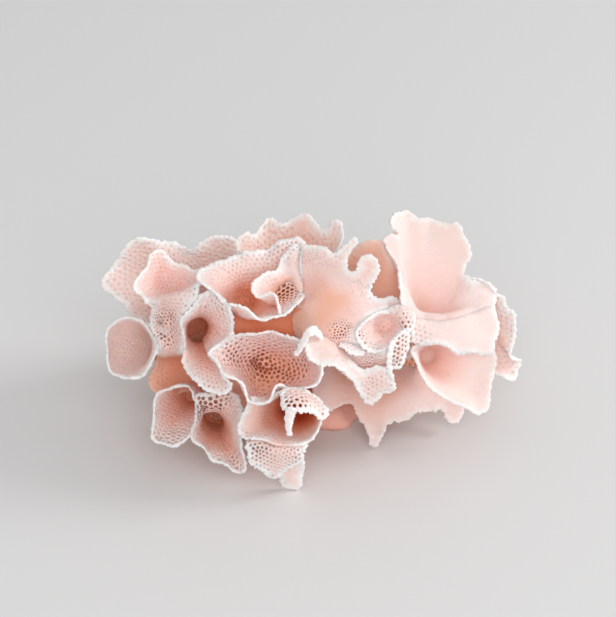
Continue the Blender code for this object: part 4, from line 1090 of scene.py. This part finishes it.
        sheet([(-17.3, -6, 29.5), (-14.2, -5, 28.4), (-10.7, -4.6, 27.7), (-7.2, -4.8, 28), (-3.6, -5.6, 29.3),
               (-2.2, -6.2, 29.9), (-0.6, -7, 30)],
              [(-16.9, -7, 26.9), (-13.8, -6.6, 26.4), (-10.7, -6.4, 26), (-7.2, -6.4, 26.3), (-3.8, -7, 27.6),
               (-2.2, -8.6, 28.9), (0, -9.4, 29.3)],
              [(-16.5, -8.6, 23), (-13.4, -8, 22.4), (-10.3, -7.6, 22.2), (-7.2, -7.6, 22.4), (-3.8, -8.8, 24),
               (-2, -10.5, 26.2), (0.3, -11.6, 27.2)], pores=0.04, deep=0.85, white=0.0, stir=0.2),
    ]},
}

# The holdfast's outline about its centre, and the height and size of each level of it.
HOLDFAST = {
    "centre": (-1, 1),
    "outline": [(11, 1), (8.5, 5.5), (3, 6.5), (-2, 8), (-8, 6), (-12, 1.5), (-10, -4), (-4.5, -6.5), (1, -5.5),
                (7, -5.5)],
    "levels": [(0.0, 1.0), (1.6, 1.04), (4.2, 0.7), (6.5, 0.42)],
}


# The holdfast and the studio


def holdfast_piece():
    """Crust under the colony, with the lumps of a grown base and flat on the floor."""
    x, y = HOLDFAST["centre"]
    rows = [[(x + dx * size, y + dy * size, height) for dx, dy in HOLDFAST["outline"]]
            for height, size in HOLDFAST["levels"]]
    count = round(length(rows[0], True) / COARSE)
    lines = [divide(row, count, True) for row in rows]
    columns = [divide([line[i] for line in lines], CRUST_ROWS) for i in range(count)]
    grid = np.stack(columns, axis=1)
    lumps = wobble(grid, 4.0, 5) * 0.6 + wobble(grid, 1.6, 6) * 0.25
    lumps[..., 2] *= (grid[..., 2] > 0.01)
    grid = grid + lumps
    work = bmesh.new()
    verts = [[work.verts.new((p - CENTRE) * MM) for p in row] for row in grid]
    for low, high in zip(verts, verts[1:]):
        for i in range(count):
            j = (i + 1) % count
            work.faces.new((low[i], low[j], high[j], high[i]))
    work.faces.new(list(reversed(verts[0])))
    work.faces.new(verts[-1])
    bmesh.ops.triangulate(work, faces=[f for f in work.faces if len(f.verts) > 4])
    bmesh.ops.recalc_face_normals(work, faces=work.faces)
    item = object_of("holdfast_crust", work)
    item.data.shade_smooth()
    item.data.materials.append(crust_material())
    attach(item, "root")
    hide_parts("holdfast")


def area_light(name, place, size, power):
    """A round soft light that faces the colony."""
    light = bpy.data.lights.new(name, "AREA")
    light.shape = "DISK"
    light.size = size
    light.energy = power
    item = link(name, light)
    item.location = place
    item.rotation_euler = (LIT - Vector(place)).to_track_quat("-Z", "Y").to_euler()


def camera(distance, elevation, focal):
    """The camera, in front of the colony and looking down at it."""
    lens = bpy.data.cameras.new("Camera")
    lens.sensor_width = 36.0
    lens.lens = focal
    lens.clip_start = 0.01
    item = link("Camera", lens)
    back = Vector((0.0, -math.cos(elevation), math.sin(elevation)))
    item.location = AIM + back * distance
    item.rotation_euler = (-back).to_track_quat("-Z", "Y").to_euler()
    bpy.context.scene.camera = item


# What a user can change


class LaceSizes(bpy.types.PropertyGroup):
    """Sizes of the lace."""

    pitch: bpy.props.FloatProperty(
        name="Pitch", description="Distance from one pore to the next", default=0.00112, unit="LENGTH")
    wall: bpy.props.FloatProperty(
        name="Wall", description="Thickness of a frond", default=0.0004, unit="LENGTH")
    rim_wall: bpy.props.FloatProperty(
        name="Rim", description="Thickness of a frond at its rim", default=0.00047, unit="LENGTH")
    tooth: bpy.props.FloatProperty(
        name="Teeth", description="Height of the fine teeth along a rim", default=0.0005, unit="LENGTH")


class LaceColours(bpy.types.PropertyGroup):
    """Colours of the colony."""

    rim: bpy.props.FloatVectorProperty(
        name="Rim", description="Colour along the rims", default=(0.98, 0.92, 0.89), subtype="COLOR")
    frond: bpy.props.FloatVectorProperty(
        name="Frond", description="Colour of a frond", default=(0.94, 0.58, 0.54), subtype="COLOR")
    blush: bpy.props.FloatVectorProperty(
        name="Blush", description="Warmer colour in patches", default=(0.93, 0.52, 0.45), subtype="COLOR")
    # Inside: the colour of the painted shade towards the colony's inside, and one of the two tones of the holdfast's
    # crust
    deep: bpy.props.FloatVectorProperty(
        name="Inside", description="Colour towards the colony's inside", default=(0.91, 0.44, 0.31),
        subtype="COLOR")


class Studio(bpy.types.PropertyGroup):
    """Camera, lights and floor."""

    elevation: bpy.props.FloatProperty(
        name="View height", description="How far above the horizon the camera looks from",
        default=math.radians(32.0), subtype="ANGLE")
    distance: bpy.props.FloatProperty(
        name="Distance", description="From the camera to the middle of the view", default=0.45, unit="LENGTH")
    focal: bpy.props.FloatProperty(
        name="Focal length", description="Focal length of the camera in millimetres", default=131.5)
    floor_colour: bpy.props.FloatVectorProperty(
        name="Floor", description="Colour of the floor", default=(0.74, 0.74, 0.737), subtype="COLOR")
    key: bpy.props.FloatProperty(
        name="Key light", description="Power of the large soft light", default=4.15, unit="POWER")


class GrowPieces:
    """What the operators that grow fronds share."""

    nodes = ()

    def execute(self, context):
        for node in self.nodes:
            lace_piece(node)
        return {"FINISHED"}


class GrowFront(GrowPieces, bpy.types.Operator):
    """Grow the fronds at the front: the keyhole funnel, the lace bowl, the tunnel and the lower left cups"""

    bl_idname = "bryozoan.front"
    bl_label = "Front fronds"
    nodes = ("keyhole_funnel", "lace_bowl", "front_tunnel", "lower_left_cup", "lower_left_fold")


class GrowMiddle(GrowPieces, bpy.types.Operator):
    """Grow the fronds in the middle: the upper bowl, the drape and the small right funnel"""

    bl_idname = "bryozoan.middle"
    bl_label = "Middle fronds"
    nodes = ("upper_bowl", "centre_sheet", "right_funnel")


class GrowLeft(GrowPieces, bpy.types.Operator):
    """Grow the fronds on the left"""

    bl_idname = "bryozoan.left"
    bl_label = "Left fronds"
    nodes = ("left_cup", "upper_left_cup", "rear_left_ruffle", "left_low_sheet")


class GrowRight(GrowPieces, bpy.types.Operator):
    """Grow the fronds on the right"""

    bl_idname = "bryozoan.right"
    bl_label = "Right fronds"
    nodes = ("right_top_lobe", "right_mid_sheet", "right_lower_funnel", "right_edge_lobe", "right_low_sheet")


class GrowBack(GrowPieces, bpy.types.Operator):
    """Grow the fronds at the back"""

    bl_idname = "bryozoan.back"
    bl_label = "Back fronds"
    nodes = ("back_crown", "back_left_cup", "back_right_cup", "back_middle_cup", "back_left_skirt",
             "back_right_skirt")


class GrowBase(bpy.types.Operator):
    """Grow the inner wall that the fronds stand on and the holdfast under it"""

    bl_idname = "bryozoan.base"
    bl_label = "Wall and holdfast"

    def execute(self, context):
        lace_piece("spine_wall")
        holdfast_piece()
        return {"FINISHED"}


class SetStage(bpy.types.Operator):
    """Set the floor, the lights and the camera"""

    bl_idname = "bryozoan.stage"
    bl_label = "Studio"

    def execute(self, context):
        studio = context.scene.studio
        context.scene.view_settings.view_transform = "Standard"
        bpy.ops.mesh.primitive_plane_add(size=6.0, location=(0.0, 0.0, 0.0))
        floor = context.object
        floor.name = "studio_floor"
        floor.data.materials.append(floor_material())
        world = bpy.data.worlds.new("Studio")
        context.scene.world = world
        world.use_nodes = True
        sky = world.node_tree.nodes["Background"]
        sky.inputs["Color"].default_value = (1.0, 1.0, 1.0, 1.0)
        sky.inputs["Strength"].default_value = SKY
        area_light("Key", (0.85, 0.1, 0.42), 0.4, studio.key)
        area_light("Fill", (0.1, -0.75, 0.45), 0.8, studio.key * FILL)
        camera(studio.distance, studio.elevation, studio.focal)
        return {"FINISHED"}


class BryozoanPanel(bpy.types.Panel):
    """Sizes, colours and steps of the colony"""

    bl_idname = "VIEW3D_PT_bryozoan"
    bl_label = "Lace bryozoan"
    bl_space_type = "VIEW_3D"
    bl_region_type = "UI"
    bl_category = "Bryozoan"

    def draw(self, context):
        for group in (context.scene.lace_sizes, context.scene.lace_colours, context.scene.studio):
            box = self.layout.box()
            for name in group.__annotations__:
                box.prop(group, name)
        for step in STEPS:
            self.layout.operator(step.bl_idname)


STEPS = (GrowFront, GrowMiddle, GrowLeft, GrowRight, GrowBack, GrowBase, SetStage)
GROUPS = {"lace_sizes": LaceSizes, "lace_colours": LaceColours, "studio": Studio}


def register():
    for made in (*GROUPS.values(), *STEPS, BryozoanPanel):
        bpy.utils.register_class(made)
    for name, group in GROUPS.items():
        setattr(bpy.types.Scene, name, bpy.props.PointerProperty(type=group))


def unregister():
    for name in GROUPS:
        delattr(bpy.types.Scene, name)
    for made in (BryozoanPanel, *reversed(STEPS), *reversed(GROUPS.values())):
        bpy.utils.unregister_class(made)


def main():
    register()
    bpy.ops.bryozoan.front()
    bpy.ops.bryozoan.middle()
    bpy.ops.bryozoan.left()
    bpy.ops.bryozoan.right()
    bpy.ops.bryozoan.back()
    bpy.ops.bryozoan.base()
    bpy.ops.bryozoan.stage()


if __name__ == "__main__":
    main()
